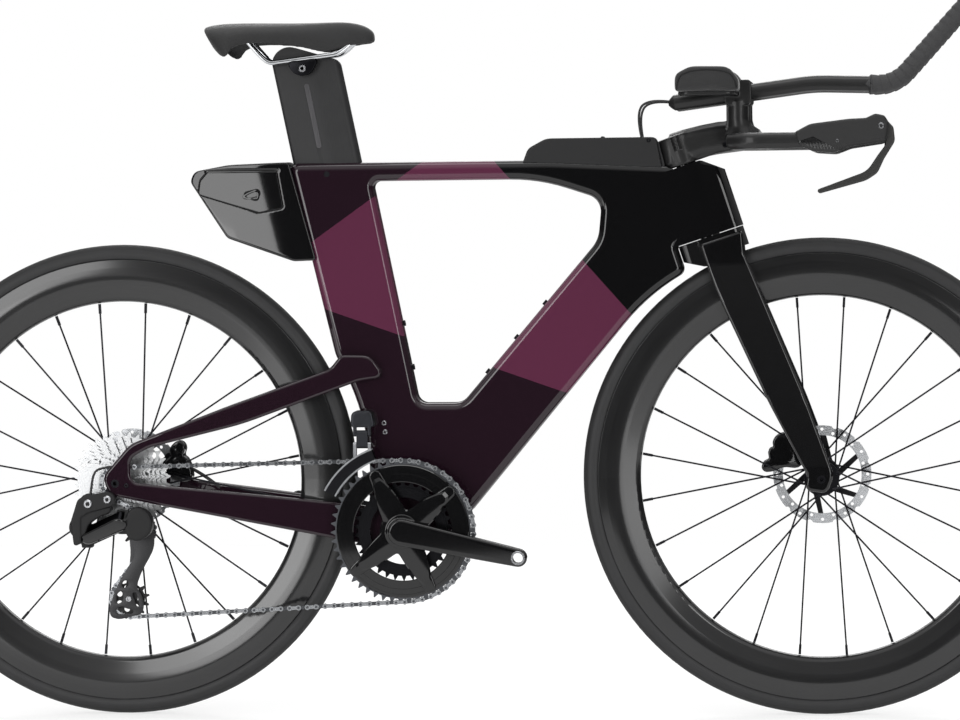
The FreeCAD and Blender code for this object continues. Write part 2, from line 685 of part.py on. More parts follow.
def hub(centre, flanges, end_right, end_left, rotor_y):
    """Turned hub shell: barrel, two spoke flanges and the splined rotor seat."""
    right, left = flanges
    lock = rotor_y - ROTOR_THICKNESS / 2
    return turned(centre, [
        (AXLE_RADIUS + RUN, end_right, 0),
        (HUB_BARREL, end_right, 1),
        (HUB_BARREL + 2, right - FLANGE_HALF, 1),
        (FLANGE_RADIUS, right - FLANGE_HALF, 0.7),
        (FLANGE_RADIUS, right + FLANGE_HALF, 0.7),
        (HUB_BARREL + 2, right + FLANGE_HALF, 1),
        (HUB_BARREL, right + FLANGE_HALF + 8, 6),
        (HUB_BARREL, left - FLANGE_HALF - 8, 6),
        (HUB_BARREL + 2, left - FLANGE_HALF, 1),
        (FLANGE_RADIUS, left - FLANGE_HALF, 0.7),
        (FLANGE_RADIUS, left + FLANGE_HALF, 0.7),
        (CENTRE_LOCK_RADIUS + 2, left + FLANGE_HALF, 0),
        (CENTRE_LOCK_RADIUS + 2, lock, 0),
        (CENTRE_LOCK_RADIUS, lock, 0),
        (CENTRE_LOCK_RADIUS, lock + ROTOR_THICKNESS + 3, 0.5),
        (HUB_BARREL - 3, lock + ROTOR_THICKNESS + 5, 0),
        (HUB_BARREL - 3, end_left, 0.5),
        (AXLE_RADIUS + RUN, end_left, 0),
    ])


def rotor(centre, y):
    """Drilled brake rotor: scalloped braking track on six raked arms."""
    y0 = y - ROTOR_THICKNESS / 2
    y1 = y + ROTOR_THICKNESS / 2
    track_in = ROTOR_RADIUS - ROTOR_TRACK
    pieces = [
        ring(centre, ROTOR_RADIUS, track_in, y0, y1),
        ring(centre, CENTRE_LOCK_RADIUS + 8, CENTRE_LOCK_RADIUS + SEAT, y0, y1),
    ]
    for i in range(6):
        root = polar(centre, CENTRE_LOCK_RADIUS + 4, i * 60)
        tip = polar(centre, track_in + 2, i * 60 + 28)
        pieces.append(stadium(root, tip, 4.5, 3.4, y0, y1))
    body = joined(pieces)
    holes = []
    for i in range(ROTOR_HOLES):
        turn = i * 360 / ROTOR_HOLES
        reach = track_in + (4.2 if i % 2 else 8.6)
        holes.append(disc(polar(centre, reach, turn), 2.3, y0 - 1, y1 + 1))
        if i % 2:
            holes.append(disc(polar(centre, ROTOR_RADIUS + 1.6, turn), 4.4, y0 - 1, y1 + 1))
    holes.append(disc(centre, CENTRE_LOCK_RADIUS + SEAT, y0 - 1, y1 + 1))
    return body.cut(holes)


FRONT_FLANGES = (FRONT_FLANGE_RIGHT, FRONT_FLANGE_LEFT)
REAR_FLANGES = (REAR_FLANGE_RIGHT, REAR_FLANGE_LEFT)
CASSETTE_BACK = REAR_FLANGE_RIGHT - FLANGE_HALF - 2
save("front_tyre", tyre(FRONT))
save("front_rim", rim(FRONT))
save("front_spokes", *spoke_set(FRONT, FRONT_FLANGES))
save("front_hub", hub(FRONT, FRONT_FLANGES, -FORK_IN + HUB_END_GAP, FORK_IN - HUB_END_GAP, FRONT_ROTOR_Y))
save("front_rotor", rotor(FRONT, FRONT_ROTOR_Y))
save("rear_tyre", tyre(REAR))
save("rear_rim", rim(REAR))
save("rear_spokes", *spoke_set(REAR, REAR_FLANGES))
save("rear_hub", hub(REAR, REAR_FLANGES, CASSETTE_BACK, DROPOUT_IN - HUB_END_GAP, REAR_ROTOR_Y))
save("rear_rotor", rotor(REAR, REAR_ROTOR_Y))


# Chain drive. The chain runs clockwise seen from the drive side, from the big ring to the
# tension pulley, the guide pulley and the smallest cog, and back along the top.
def pitch_radius(teeth):
    return PITCH / (2 * math.sin(math.pi / teeth))


GUIDE = from_rear(GUIDE_X, -GUIDE_DROP)


def tension_centre(cage_turn):
    return polar(GUIDE, CAGE_LENGTH, cage_turn)


def chain_stations(cage_turn):
    """Wheels of the drive in chain order: centre, teeth, direction (1 clockwise) and plane."""
    return [
        (BB, BIG_RING_TEETH, 1, BIG_RING_Y),
        (tension_centre(cage_turn), TENSION_TEETH, 1, FIRST_COG_Y),
        (GUIDE, GUIDE_TEETH, -1, FIRST_COG_Y),
        (REAR, COGS[0], 1, FIRST_COG_Y),
    ]


def chain_spans(stations):
    """Straight span after each wheel as (start, finish)."""
    spans = []
    for i, (centre, teeth, way, _) in enumerate(stations):
        other, other_teeth, other_way, _ = stations[(i + 1) % len(stations)]
        dx = other[0] - centre[0]
        dz = other[1] - centre[1]
        apart = math.hypot(dx, dz)
        here = way * pitch_radius(teeth)
        there = other_way * pitch_radius(other_teeth)
        heading = math.atan2(dz, dx) + math.asin((there - here) / apart)
        nx = math.sin(heading)
        nz = -math.cos(heading)
        spans.append(((centre[0] - here * nx, centre[1] - here * nz),
                      (other[0] - there * nx, other[1] - there * nz)))
    return spans


def wrap(centre, way, arrive, leave):
    """Angles at which the chain meets a wheel, and the turn that it makes round it."""
    a0 = math.atan2(arrive[1] - centre[1], arrive[0] - centre[0])
    a1 = math.atan2(leave[1] - centre[1], leave[0] - centre[0])
    return a0, ((a0 - a1) * way) % (2 * math.pi)


def chain_pitches(cage_turn):
    stations = chain_stations(cage_turn)
    spans = chain_spans(stations)
    total = 0.0
    for i, (centre, teeth, way, _) in enumerate(stations):
        total += wrap(centre, way, spans[i - 1][1], spans[i][0])[1] * teeth / (2 * math.pi)
        total += math.dist(*spans[i]) / PITCH
    return total


def settle_cage():
    """Cage angle at which the spring has taken up exactly the chain's spare length."""
    low = -135.0
    high = -60.0
    for _ in range(50):
        middle = (low + high) / 2
        if (chain_pitches(middle) > CHAIN_LINKS) == (chain_pitches(high) > chain_pitches(low)):
            high = middle
        else:
            low = middle
    return (low + high) / 2


CAGE_TURN = settle_cage()
TENSION = tension_centre(CAGE_TURN)
STATIONS = chain_stations(CAGE_TURN)
SPANS = chain_spans(STATIONS)


def chain_point(place):
    """Point on the chain's centreline, that many pitches on from the big ring's first tooth."""
    for i, (centre, teeth, way, y) in enumerate(STATIONS):
        a0, turn = wrap(centre, way, SPANS[i - 1][1], SPANS[i][0])
        arc = turn * teeth / (2 * math.pi)
        if place <= arc:
            x, z = polar(centre, pitch_radius(teeth), math.degrees(a0 - way * turn * place / arc))
            return Vector(x, y, z)
        place -= arc
        start, finish = SPANS[i]
        run = math.dist(start, finish) / PITCH
        if place <= run:
            share = place / run
            sway = min(1.0, max(0.0, (place - CHAIN_STRAIGHT) / (run - 2 * CHAIN_STRAIGHT)))
            y_next = STATIONS[(i + 1) % len(STATIONS)][3]
            return Vector(start[0] + share * (finish[0] - start[0]), y + sway * (y_next - y),
                          start[1] + share * (finish[1] - start[1]))
        place -= run
    return chain_point(place)


PINS = [chain_point(i) for i in range(CHAIN_LINKS)]


def seat_turn(station):
    """Angle of a roller that rests on a wheel of the drive."""
    centre, teeth, _, _ = station
    reach = lambda pin: abs(math.hypot(pin.x - centre[0], pin.z - centre[1]) - pitch_radius(teeth))
    nearest = min(PINS, key=reach)
    return math.degrees(math.atan2(nearest.z - centre[1], nearest.x - centre[0]))


def toothed(centre, teeth, first, y):
    """Sprocket plate with straight-flanked gaps round its roller seats, one of them at first."""
    flank = math.radians(TOOTH_FLANK)
    seat = ROLLER_RADIUS + ROLLER_PLAY
    floor = seat * math.tan(flank / 2)
    mouth = (seat + TOOTH_TIP * math.cos(flank)) / math.sin(flank)
    corners = []
    for i in range(teeth):
        turn = first + i * 360 / teeth
        for across, up in ((-mouth, TOOTH_TIP), (-floor, -seat), (floor, -seat), (mouth, TOOTH_TIP)):
            foot = polar(centre, pitch_radius(teeth) + up, turn)
            corners.append(at(polar(foot, across, turn + 90)))
    return slab(corners, y - COG_THICKNESS / 2, y + COG_THICKNESS / 2)


def chain_plate(y0):
    """Link plate from pin to pin, lying along X, its near face at y0."""
    r = CHAIN_PLATE_RADIUS
    cut = r * 0.46
    right = PITCH
    corners = [(-r, -cut, 0), (-cut, -r, 0), (right + cut, -r, 0), (right + r, -cut, 0),
               (right + r, cut, 0), (right + cut, r, 0), (-cut, r, 0), (-r, cut, 0)]
    return slab(corners, y0, y0 + CHAIN_PLATE)


CHAIN_OUTER_HALF = CHAIN_INNER_HALF + CHAIN_PLATE
inner_plates = [chain_plate(CHAIN_INNER_HALF), chain_plate(-CHAIN_INNER_HALF - CHAIN_PLATE)]
rollers = [disc((x, 0), ROLLER_RADIUS, -CHAIN_INNER_HALF, CHAIN_INNER_HALF) for x in (0, PITCH)]
inner_link = joined(inner_plates + rollers)
headings = [(PINS[(i + 1) % CHAIN_LINKS] - pin).normalize() for i, pin in enumerate(PINS)]


def tilt(i):
    """Direction across the chain at a link, square to its run."""
    run = headings[i % CHAIN_LINKS]
    return (ALONG_Y - run * run.y).normalize()


links = []
for i, pin in enumerate(PINS):
    across = tilt(i)
    place = Placement(pin, Rotation(headings[i], across, headings[i].cross(across), "XYZ"))
    pieces = [inner_link]
    if i % 2:
        bend = max(across.getAngle(tilt(i - 1)), across.getAngle(tilt(i + 1)))
        lift = CHAIN_OUTER_HALF + CHAIN_PLATE_RADIUS * 1.2 * math.sin(bend)
        pieces = [chain_plate(lift), chain_plate(-lift - CHAIN_PLATE)]
    for piece in pieces:
        link = piece.copy()
        link.Placement = place
        links.append(link)
save("chain", *links)
print("chain", round(CAGE_TURN, 2), "deg cage,", CHAIN_LINKS, "links,", round(CHAIN_LINKS * PITCH), "mm long")

# Chainrings, crank arms and the axle that joins them
RING_BOLT_RADIUS = 55.0
RING_FACE = BIG_RING_Y - 3
CRANK_INNER = -60.5
SPIDER_TURNS = (52, 128, 232, 308)
PEDAL_EYE = polar(BB, CRANK_LENGTH, CRANK_ANGLE)
LEFT_EYE = polar(BB, CRANK_LENGTH, CRANK_ANGLE + 180)
bolt_spots = [polar(BB, RING_BOLT_RADIUS, CRANK_ANGLE + turn) for turn in SPIDER_TURNS]
BIG_RADIUS = pitch_radius(BIG_RING_TEETH)
SMALL_RADIUS = pitch_radius(SMALL_RING_TEETH)
big_ring = [
    toothed(BB, BIG_RING_TEETH, seat_turn(STATIONS[0]), BIG_RING_Y).cut(disc(BB, BIG_RADIUS - 12, -60, 0)),
    ring(BB, BIG_RADIUS - 8, BIG_RADIUS - 23, RING_FACE, BIG_RING_Y + 1),
]
small_ring = [
    toothed(BB, SMALL_RING_TEETH, 0, SMALL_RING_Y).cut(disc(BB, SMALL_RADIUS - 9, -60, 0)),
    ring(BB, SMALL_RADIUS - 7, SMALL_RADIUS - 21, SMALL_RING_Y - 2.5, SMALL_RING_Y + 1),
]
for i, spot in enumerate(bolt_spots):
    rim_spot = polar(BB, BIG_RADIUS - 18, CRANK_ANGLE + SPIDER_TURNS[i])
    big_ring.append(stadium(rim_spot, spot, 11, 7.5, RING_FACE, BIG_RING_Y + 1))
    small_ring.append(disc(spot, 5.5, BIG_RING_Y, SMALL_RING_Y))
save("chainrings", joined(big_ring + small_ring))

spider = [disc(BB, 25, CRANK_INNER, RING_FACE)]
for i, spot in enumerate(bolt_spots):
    tip = polar(BB, BIG_RADIUS - 14, CRANK_ANGLE + SPIDER_TURNS[i])
    spider.append(stadium(BB, tip, 17, 9, RING_FACE - 6, RING_FACE))
arm = stadium(BB, PEDAL_EYE, 19, 13, -PEDAL_FACE, CRANK_INNER)
arm = softened(arm, 4, on_face(-PEDAL_FACE))
LEFT_AXLE_END = PEDAL_FACE - 2
crank_axle = disc(BB, CRANK_AXLE_RADIUS, RING_FACE - 2, LEFT_AXLE_END)
boss = disc(BB, 17, RING_FACE, -BB_HALF - BB_CUP_LIP - GAP)
eye = disc(PEDAL_EYE, PEDAL_THREAD_RADIUS, -100, 0)
save("crank_right", joined([arm, crank_axle, boss] + spider).cut(eye))
left_arm = mirrored(stadium(BB, LEFT_EYE, 19, 13, -PEDAL_FACE, CRANK_INNER))
left_arm = softened(left_arm, 4, on_face(PEDAL_FACE))
left_boss = disc(BB, 17, BB_HALF + BB_CUP_LIP + GAP, -CRANK_INNER)
left_crank = joined([left_arm, left_boss]).cut(disc(BB, CRANK_AXLE_RADIUS + SEAT, 0, LEFT_AXLE_END + SEAT))
save("crank_left", left_crank.cut(disc(LEFT_EYE, PEDAL_THREAD_RADIUS, 0, 100)))

# Cassette on its freehub sleeve, which turns free of the wheel
SLEEVE_RADIUS = 17.0
FREEHUB_END = -DROPOUT_IN + HUB_END_GAP
cogs = [disc(REAR, SLEEVE_RADIUS, FREEHUB_END + 2, CASSETTE_BACK - GAP), disc(REAR, 11, FREEHUB_END, 0 - 60)]
for i, teeth in enumerate(COGS):
    first = seat_turn(STATIONS[3]) if i == 0 else 0
    cog = toothed(REAR, teeth, first, FIRST_COG_Y + i * COG_SPACING)
    reach = pitch_radius(teeth) - 11
    if reach > SLEEVE_RADIUS + 14:
        inner = SLEEVE_RADIUS + 8
        cog = cog.cut([stadium(polar(REAR, inner, k * 60 + i * 9), polar(REAR, reach, k * 60 + i * 9),
                               4, 5.5, -80, 0) for k in range(6)])
    cogs.append(cog)
save("cassette", joined(cogs).cut(disc(REAR, AXLE_RADIUS + RUN, -80, 0)))

# Jockey pulleys and the cage that carries them
PULLEY_PIN = 4.0
PULLEY_HUB_HALF = 3.1
CAGE_IN = 3.6
CAGE_PLATE = 1.5


def pulley(centre, teeth, station):
    wheel = toothed(centre, teeth, seat_turn(station), FIRST_COG_Y)
    reach = pitch_radius(teeth)
    wheel = wheel.cut([disc(polar(centre, reach * 0.58, k * 360 / 7), reach * 0.15, -80, 0) for k in range(7)])
    barrel = disc(centre, 8, FIRST_COG_Y - PULLEY_HUB_HALF, FIRST_COG_Y + PULLEY_HUB_HALF)
    return wheel.fuse(barrel).cut(disc(centre, PULLEY_PIN + RUN, -80, 0))


save("guide_pulley", pulley(GUIDE, GUIDE_TEETH, STATIONS[2]))
save("tension_pulley", pulley(TENSION, TENSION_TEETH, STATIONS[1]))


def cage_spot(along, forward):
    """Place on the cage: along from the guide pulley to the tension pulley, and ahead of that line."""
    return polar(polar(GUIDE, along, CAGE_TURN), forward, CAGE_TURN + 90)


cage_outline = [(-11, -9, 8), (-9, 14, 10), (12, 24, 14), (34, 23, 20), (58, 9, 40), (84, 7, 30),
                (112, 20, 12), (118, -12, 16), (98, -22, 14), (36, -1, 40), (12, -11, 12)]
cage_loop = [(80, 0, 3), (92, 7, 4), (104, 11, 4), (107, -9, 5), (96, -14, 4), (88, -8, 4)]
OUTER_PLATE = FIRST_COG_Y - CAGE_IN
INNER_PLATE = FIRST_COG_Y + CAGE_IN
outer_plate = slab([at(cage_spot(a, b), r) for a, b, r in cage_outline], OUTER_PLATE - CAGE_PLATE, OUTER_PLATE)
window = slab([at(cage_spot(a, b), r) for a, b, r in cage_loop], -90, -40)
inner_plate = stadium(GUIDE, TENSION, 12, 11, INNER_PLATE, INNER_PLATE + CAGE_PLATE)
inner_plate = inner_plate.cut(stadium(cage_spot(24, 0), cage_spot(74, 0), 5, 4.5, -90, -40))
KNUCKLE_IN = OUTER_PLATE - CAGE_PLATE - 1.4
PIVOT_END = KNUCKLE_IN - 12
cage = joined([
    outer_plate.cut(window),
    stadium(cage_spot(84, 0), TENSION, 4, 8, OUTER_PLATE - CAGE_PLATE, OUTER_PLATE),
    inner_plate,
    disc(GUIDE, PULLEY_PIN, PIVOT_END, INNER_PLATE + CAGE_PLATE),
    disc(TENSION, PULLEY_PIN, OUTER_PLATE - CAGE_PLATE - 1, INNER_PLATE + CAGE_PLATE),
])
save("rear_derailleur_cage", cage)

# Rear derailleur: a slant parallelogram whose two links turn about parallel tilted pins.
SLANT = 40.5
LINK_LENGTH = 55.6
LINK_REST = -30.2
LINK_APART = 7.0
LINK_ROUND = 5.1
LINK_HALF = 8.0
LINK_PIN = 2.5
LUG_THICKNESS = 3.5
WEB_INNER = 7.0
WEB_OUTER = 12.0
LUG_REACH = LINK_APART + 6.5
LUG_OUT = LINK_HALF + GAP + LUG_THICKNESS
SLANT_COS = math.cos(math.radians(SLANT))
SLANT_SIN = math.sin(math.radians(SLANT))
LINK_AXIS = Vector(0, SLANT_COS, SLANT_SIN)
LINK_DOWN = Vector(0, SLANT_SIN, -SLANT_COS)
LINK_FORE = LINK_LENGTH * math.cos(math.radians(LINK_REST))
LINK_RISE = LINK_LENGTH * math.sin(math.radians(LINK_REST))
BODY_PIVOT = Vector(GUIDE[0] - 22 - LINK_FORE, -70, GUIDE[1] - 8)
KNUCKLE_PIVOT = BODY_PIVOT + Vector(LINK_FORE, 0, 0) + LINK_DOWN * LINK_RISE


def slanted(base, corners, low, high):
    """Outline in the links' plane (forward, down the slant), given thickness along the pins."""
    place = lambda a, b: base + Vector(a, 0, 0) + LINK_DOWN * b + LINK_AXIS * low
    return Part.Face(outline(corners, place)).extrude(LINK_AXIS * (high - low))


def pivot_pin(base, radius, reach):
    return Part.makeCylinder(radius, 2 * reach, base - LINK_AXIS * reach, LINK_AXIS)


def parallel_link(offset):
    """One link with its two pins, set off down the slant."""
    start = BODY_PIVOT + LINK_DOWN * offset
    finish = KNUCKLE_PIVOT + LINK_DOWN * offset
    run = (finish - start).normalize()
    across = LINK_AXIS.cross(run)
    corners = [(0, LINK_ROUND), (LINK_LENGTH, LINK_ROUND), (LINK_LENGTH, -LINK_ROUND), (0, -LINK_ROUND)]
    place = lambda a, b: start + run * a + across * b - LINK_AXIS * LINK_HALF
    web = Part.Face(outline([(a, b, 0) for a, b in corners], place)).extrude(LINK_AXIS * 2 * LINK_HALF)
    ends = [pivot_pin(start, LINK_ROUND, LINK_HALF), pivot_pin(finish, LINK_ROUND, LINK_HALF)]
    pins = [pivot_pin(start, LINK_PIN, LUG_OUT), pivot_pin(finish, LINK_PIN, LUG_OUT)]
    return joined([web] + ends + pins)


def clevis(base, way):
    """Two lugs and their web, which hold the pins of both links; way is -1 behind, 1 ahead."""
    near = -way * (LUG_REACH - LINK_APART)
    far = way * WEB_OUTER
    lug = [(far, LUG_REACH, 0), (near, LUG_REACH, 6), (near, -LUG_REACH, 6), (far, -LUG_REACH, 0)]
    web = [(way * WEB_INNER, LUG_REACH, 0), (far, LUG_REACH, 0), (far, -LUG_REACH, 0),
           (way * WEB_INNER, -LUG_REACH, 0)]
    low = LINK_HALF + GAP
    return [slanted(base, lug, low, LUG_OUT), slanted(base, lug, -LUG_OUT, -low),
            slanted(base, web, -LUG_OUT, LUG_OUT)]


def pin_holes(base):
    return [pivot_pin(base + LINK_DOWN * s * LINK_APART, LINK_PIN + RUN, LUG_OUT + 5) for s in (-1, 1)]


save("rear_derailleur_outer_link", parallel_link(-LINK_APART))
save("rear_derailleur_inner_link", parallel_link(LINK_APART))

B_KNUCKLE = from_rear(-37.5, -28)
B_OUT = DROPOUT_OUT + 10
body_side = [
    at((BODY_PIVOT.x - 24, BODY_PIVOT.z + 22), 14),
    at((B_KNUCKLE[0] - 14, B_KNUCKLE[1] + 10), 12),
    at((B_KNUCKLE[0] + 10, B_KNUCKLE[1] + 10), 10),
    at((B_KNUCKLE[0] + 10, B_KNUCKLE[1] - 8), 4),
    at((BODY_PIVOT.x - WEB_INNER - 2, B_KNUCKLE[1] - 20), 4),
    at((BODY_PIVOT.x - WEB_INNER - 2, BODY_PIVOT.z - 9), 3),
    at((BODY_PIVOT.x - 20, BODY_PIVOT.z - 15), 4),
]
body = softened(slab(body_side, -B_OUT, -62), 2, on_face(-B_OUT))
bracket = joined([
    stadium(HANGER_BOLT, B_KNUCKLE, 11, 12, -B_OUT, -DROPOUT_OUT),
    disc(HANGER_BOLT, HANGER_BOLT_RADIUS, -DROPOUT_OUT - 1, -DROPOUT_IN - 2),
    body,
] + clevis(BODY_PIVOT, -1)).cut(pin_holes(BODY_PIVOT))
save("rear_derailleur_bracket", bracket)

egg = softened(disc(GUIDE, 14, KNUCKLE_IN - 17, KNUCKLE_IN), 5, on_face(KNUCKLE_IN - 17))
knuckle = joined([egg] + clevis(KNUCKLE_PIVOT, 1)).cut(pin_holes(KNUCKLE_PIVOT))
knuckle = knuckle.cut(disc(GUIDE, PULLEY_PIN + RUN, PIVOT_END - GAP, 0))
save("rear_derailleur_knuckle", knuckle)

# Front derailleur: body on the seat tube, a short link and the cage round the chain
FD_X = BB[0] - 57.2
FD_LINK = 18.0
FD_LINK_HALF = 8.0
FD_LUG = 4.7
FD_PIN = 2.0
FD_TOP = (-42.0, BB[1] + 140.0)
FD_FOOT = (FD_TOP[0], FD_TOP[1] - FD_LINK)
FD_CAGE_IN = BIG_RADIUS + 6
FD_CAGE_OUT = BIG_RADIUS + 25
FD_CAGE_RIGHT = -56.2
FD_CAGE_LEFT = -41.5
FD_SHEET = 1.0


def along_x(centre, radius, x0, x1):
    """Cylinder along X about a point (y, z)."""
    return Part.makeCylinder(radius, x1 - x0, Vector(x0, centre[0], centre[1]), Vector(1, 0, 0))


def cross_slab(corners, x0, x1):
    """Front-view outline (y, z, rounding) given length from x0 to x1."""
    wire = outline(corners, lambda a, b: Vector(x0, a, b))
    return Part.Face(wire).extrude(Vector(x1 - x0, 0, 0))


def lug_pair(corners):
    """The same front-view plate on either side of the link."""
    inner = FD_LINK_HALF + GAP
    outer = FD_LINK_HALF + FD_LUG
    return [cross_slab(corners, FD_X - outer, FD_X - inner), cross_slab(corners, FD_X + inner, FD_X + outer)]


fd_web = [(FD_TOP[0] - 4, FD_TOP[1], 0), (FD_TOP[0] + 4, FD_TOP[1], 0),
          (FD_FOOT[0] + 4, FD_FOOT[1], 0), (FD_FOOT[0] - 4, FD_FOOT[1], 0)]
pin_reach = FD_LINK_HALF + FD_LUG
fd_link = joined([
    cross_slab(fd_web, FD_X - FD_LINK_HALF, FD_X + FD_LINK_HALF),
    along_x(FD_TOP, 4, FD_X - FD_LINK_HALF, FD_X + FD_LINK_HALF),
    along_x(FD_FOOT, 4, FD_X - FD_LINK_HALF, FD_X + FD_LINK_HALF),
    along_x(FD_TOP, FD_PIN, FD_X - pin_reach, FD_X + pin_reach),
    along_x(FD_FOOT, FD_PIN, FD_X - pin_reach, FD_X + pin_reach),
])
save("front_derailleur_link", fd_link)
fd_side = [
    at((FD_X - 17, FD_TOP[1] + 8), 5),
    at((FD_X - 15, FD_TOP[1] + 31), 8),
    at((FD_X + 14, FD_TOP[1] + 32), 8),
    at((FD_X + 19, FD_TOP[1] + 8), 5),
]
fd_body = softened(slab(fd_side, FD_TOP[0] - 4, -TUBE_HALF), 3, on_face(FD_TOP[0] - 4))
top_lug = [(FD_TOP[0] - 4, FD_TOP[1] + 12, 0), (FD_TOP[0] - 4, FD_TOP[1] - 5, 3),
           (FD_TOP[0] + 5, FD_TOP[1] - 5, 3), (FD_TOP[0] + 5, FD_TOP[1] + 12, 0)]
fd_body = joined([fd_body] + lug_pair(top_lug)).cut(along_x(FD_TOP, FD_PIN + RUN, FD_X - 30, FD_X + 30))
save("front_derailleur_body", fd_body)


def sector(inner, outer, a0, a1, y0, y1):
    """Part of a flat ring about the bottom bracket between two angles."""
    place = side(y0)
    mid = (a0 + a1) / 2
    edges = [
        Part.Arc(place(*polar(BB, outer, a0)), place(*polar(BB, outer, mid)), place(*polar(BB, outer, a1))).toShape(),
        Part.LineSegment(place(*polar(BB, outer, a1)), place(*polar(BB, inner, a1))).toShape(),
        Part.Arc(place(*polar(BB, inner, a1)), place(*polar(BB, inner, mid)), place(*polar(BB, inner, a0))).toShape(),
        Part.LineSegment(place(*polar(BB, inner, a0)), place(*polar(BB, outer, a0))).toShape(),
    ]
    return Part.Face(Part.Wire(edges)).extrude(Vector(0, y1 - y0, 0))


foot_lug = [(FD_FOOT[0] - 5, FD_FOOT[1] + 5, 3), (FD_FOOT[0] + 4, FD_FOOT[1] + 5, 3),
            (FD_FOOT[0] + 4, FD_FOOT[1] - 16, 0), (FD_FOOT[0] - 5, FD_FOOT[1] - 16, 0)]
fd_cage = joined([
    sector(FD_CAGE_IN, FD_CAGE_OUT, 110, 152, FD_CAGE_RIGHT, FD_CAGE_RIGHT + FD_SHEET),
    sector(FD_CAGE_IN, FD_CAGE_OUT, 110, 150, FD_CAGE_LEFT - FD_SHEET, FD_CAGE_LEFT),
    sector(FD_CAGE_OUT - 3, FD_CAGE_OUT, 111, 118.5, FD_CAGE_RIGHT, FD_CAGE_LEFT),
] + lug_pair(foot_lug)).cut(along_x(FD_FOOT, FD_PIN + RUN, FD_X - 30, FD_X + 30))
save("front_derailleur_cage", fd_cage)

# Disc brakes: a calliper on each left leg and two pads that slide on to the rotor
CALLIPER_HALF = 12.0
SLOT_HALF = 1.9
PAD_GAP = 0.35
PAD_THICKNESS = 3.0
PAD_RADIUS = 7.5


def pad(centre, y, turn, way, grow):
    """Pad on one side of a rotor: way is -1 for the wheel side, 1 for the outer side."""
    reach = ROTOR_RADIUS - ROTOR_TRACK / 2 - 1.5
    near = y + way * (ROTOR_THICKNESS / 2 + PAD_GAP)
    far = near + way * (PAD_THICKNESS + grow)
    return stadium(polar(centre, reach, turn - 9), polar(centre, reach, turn + 9.01),
                   PAD_RADIUS + grow, PAD_RADIUS + grow - 0.01, min(near, far), max(near, far))


def calliper(centre, y, turn, corners, carrier):
    body = slab(corners, y - CALLIPER_HALF, y + CALLIPER_HALF)
    body = softened(body, 3, on_face(y - CALLIPER_HALF))
    slot = disc(centre, ROTOR_RADIUS + 2.5, y - SLOT_HALF, y + SLOT_HALF)
    pockets = [pad(centre, y, turn, way, SEAT) for way in (-1, 1)]
    return body.cut([slot, carrier] + pockets)


FRONT_PAD_TURN = 149.0
REAR_PAD_TURN = 17.0
front_calliper_side = [
    at(from_front(-70.5, 56), 6),
    at(from_front(-81.5, 17), 6),
    at(from_front(-27.5, 14), 4),
    at(from_front(-32.5, 55), 4),
]
rear_calliper_side = [
    at(from_rear(52, 43), 5),
    at(from_rear(84, 47), 6),
    at(from_rear(90, -6), 3),
    at(from_rear(52, -6), 3),
]
save("front_caliper", calliper(FRONT, FRONT_ROTOR_Y, FRONT_PAD_TURN, front_calliper_side, fork))
rear_calliper = calliper(REAR, REAR_ROTOR_Y, REAR_PAD_TURN, rear_calliper_side, frame)
save("rear_caliper", rear_calliper)
for name, centre, y, turn in (("front", FRONT, FRONT_ROTOR_Y, FRONT_PAD_TURN),
                              ("rear", REAR, REAR_ROTOR_Y, REAR_PAD_TURN)):
    save(name + "_pad_inner", pad(centre, y, turn, -1, 0))
    save(name + "_pad_outer", pad(centre, y, turn, 1, 0))

# Saddle on two steel rails, held by ears on the seatpost head
RAIL_Y = RAIL_SPACING / 2
RAIL_TURN = math.radians(RAIL_SLOPE)
CLAMP_CENTRE = (BB[0] - 138, TOP_TUBE_HEIGHT + 149.5)
CLAMP_BOLT = (CLAMP_CENTRE[0], CLAMP_CENTRE[1] - 15)
CLAMP_BOLT_RADIUS = 4.0


def on_rail(along, lift):
    """Side-view point that far forward of the clamp along the rails."""
    return (CLAMP_CENTRE[0] + along * math.cos(RAIL_TURN) - lift * math.sin(RAIL_TURN),
            CLAMP_CENTRE[1] + along * math.sin(RAIL_TURN) + lift * math.cos(RAIL_TURN))


def rail(y, radius):
    path = [on_rail(-93, 49), on_rail(-52, 0), on_rail(48, 0), on_rail(86, 15)]
    return rod([(x, y, z) for x, z in path], radius, 14)


def saddle_station(x, half, crown, shoulder, foot):
    """Cross-section of the saddle: rounded crown, straight skirts and a flat underside."""
    spot = lambda y, z: Vector(CLAMP_CENTRE[0] + x, y, CLAMP_CENTRE[1] + z)
    low = half - 2.5
    return Part.Wire([
        Part.Arc(spot(-half, shoulder), spot(0, crown), spot(half, shoulder)).toShape(),
        Part.LineSegment(spot(half, shoulder), spot(low, foot)).toShape(),
        Part.LineSegment(spot(low, foot), spot(-low, foot)).toShape(),
        Part.LineSegment(spot(-low, foot), spot(-half, shoulder)).toShape(),
    ])


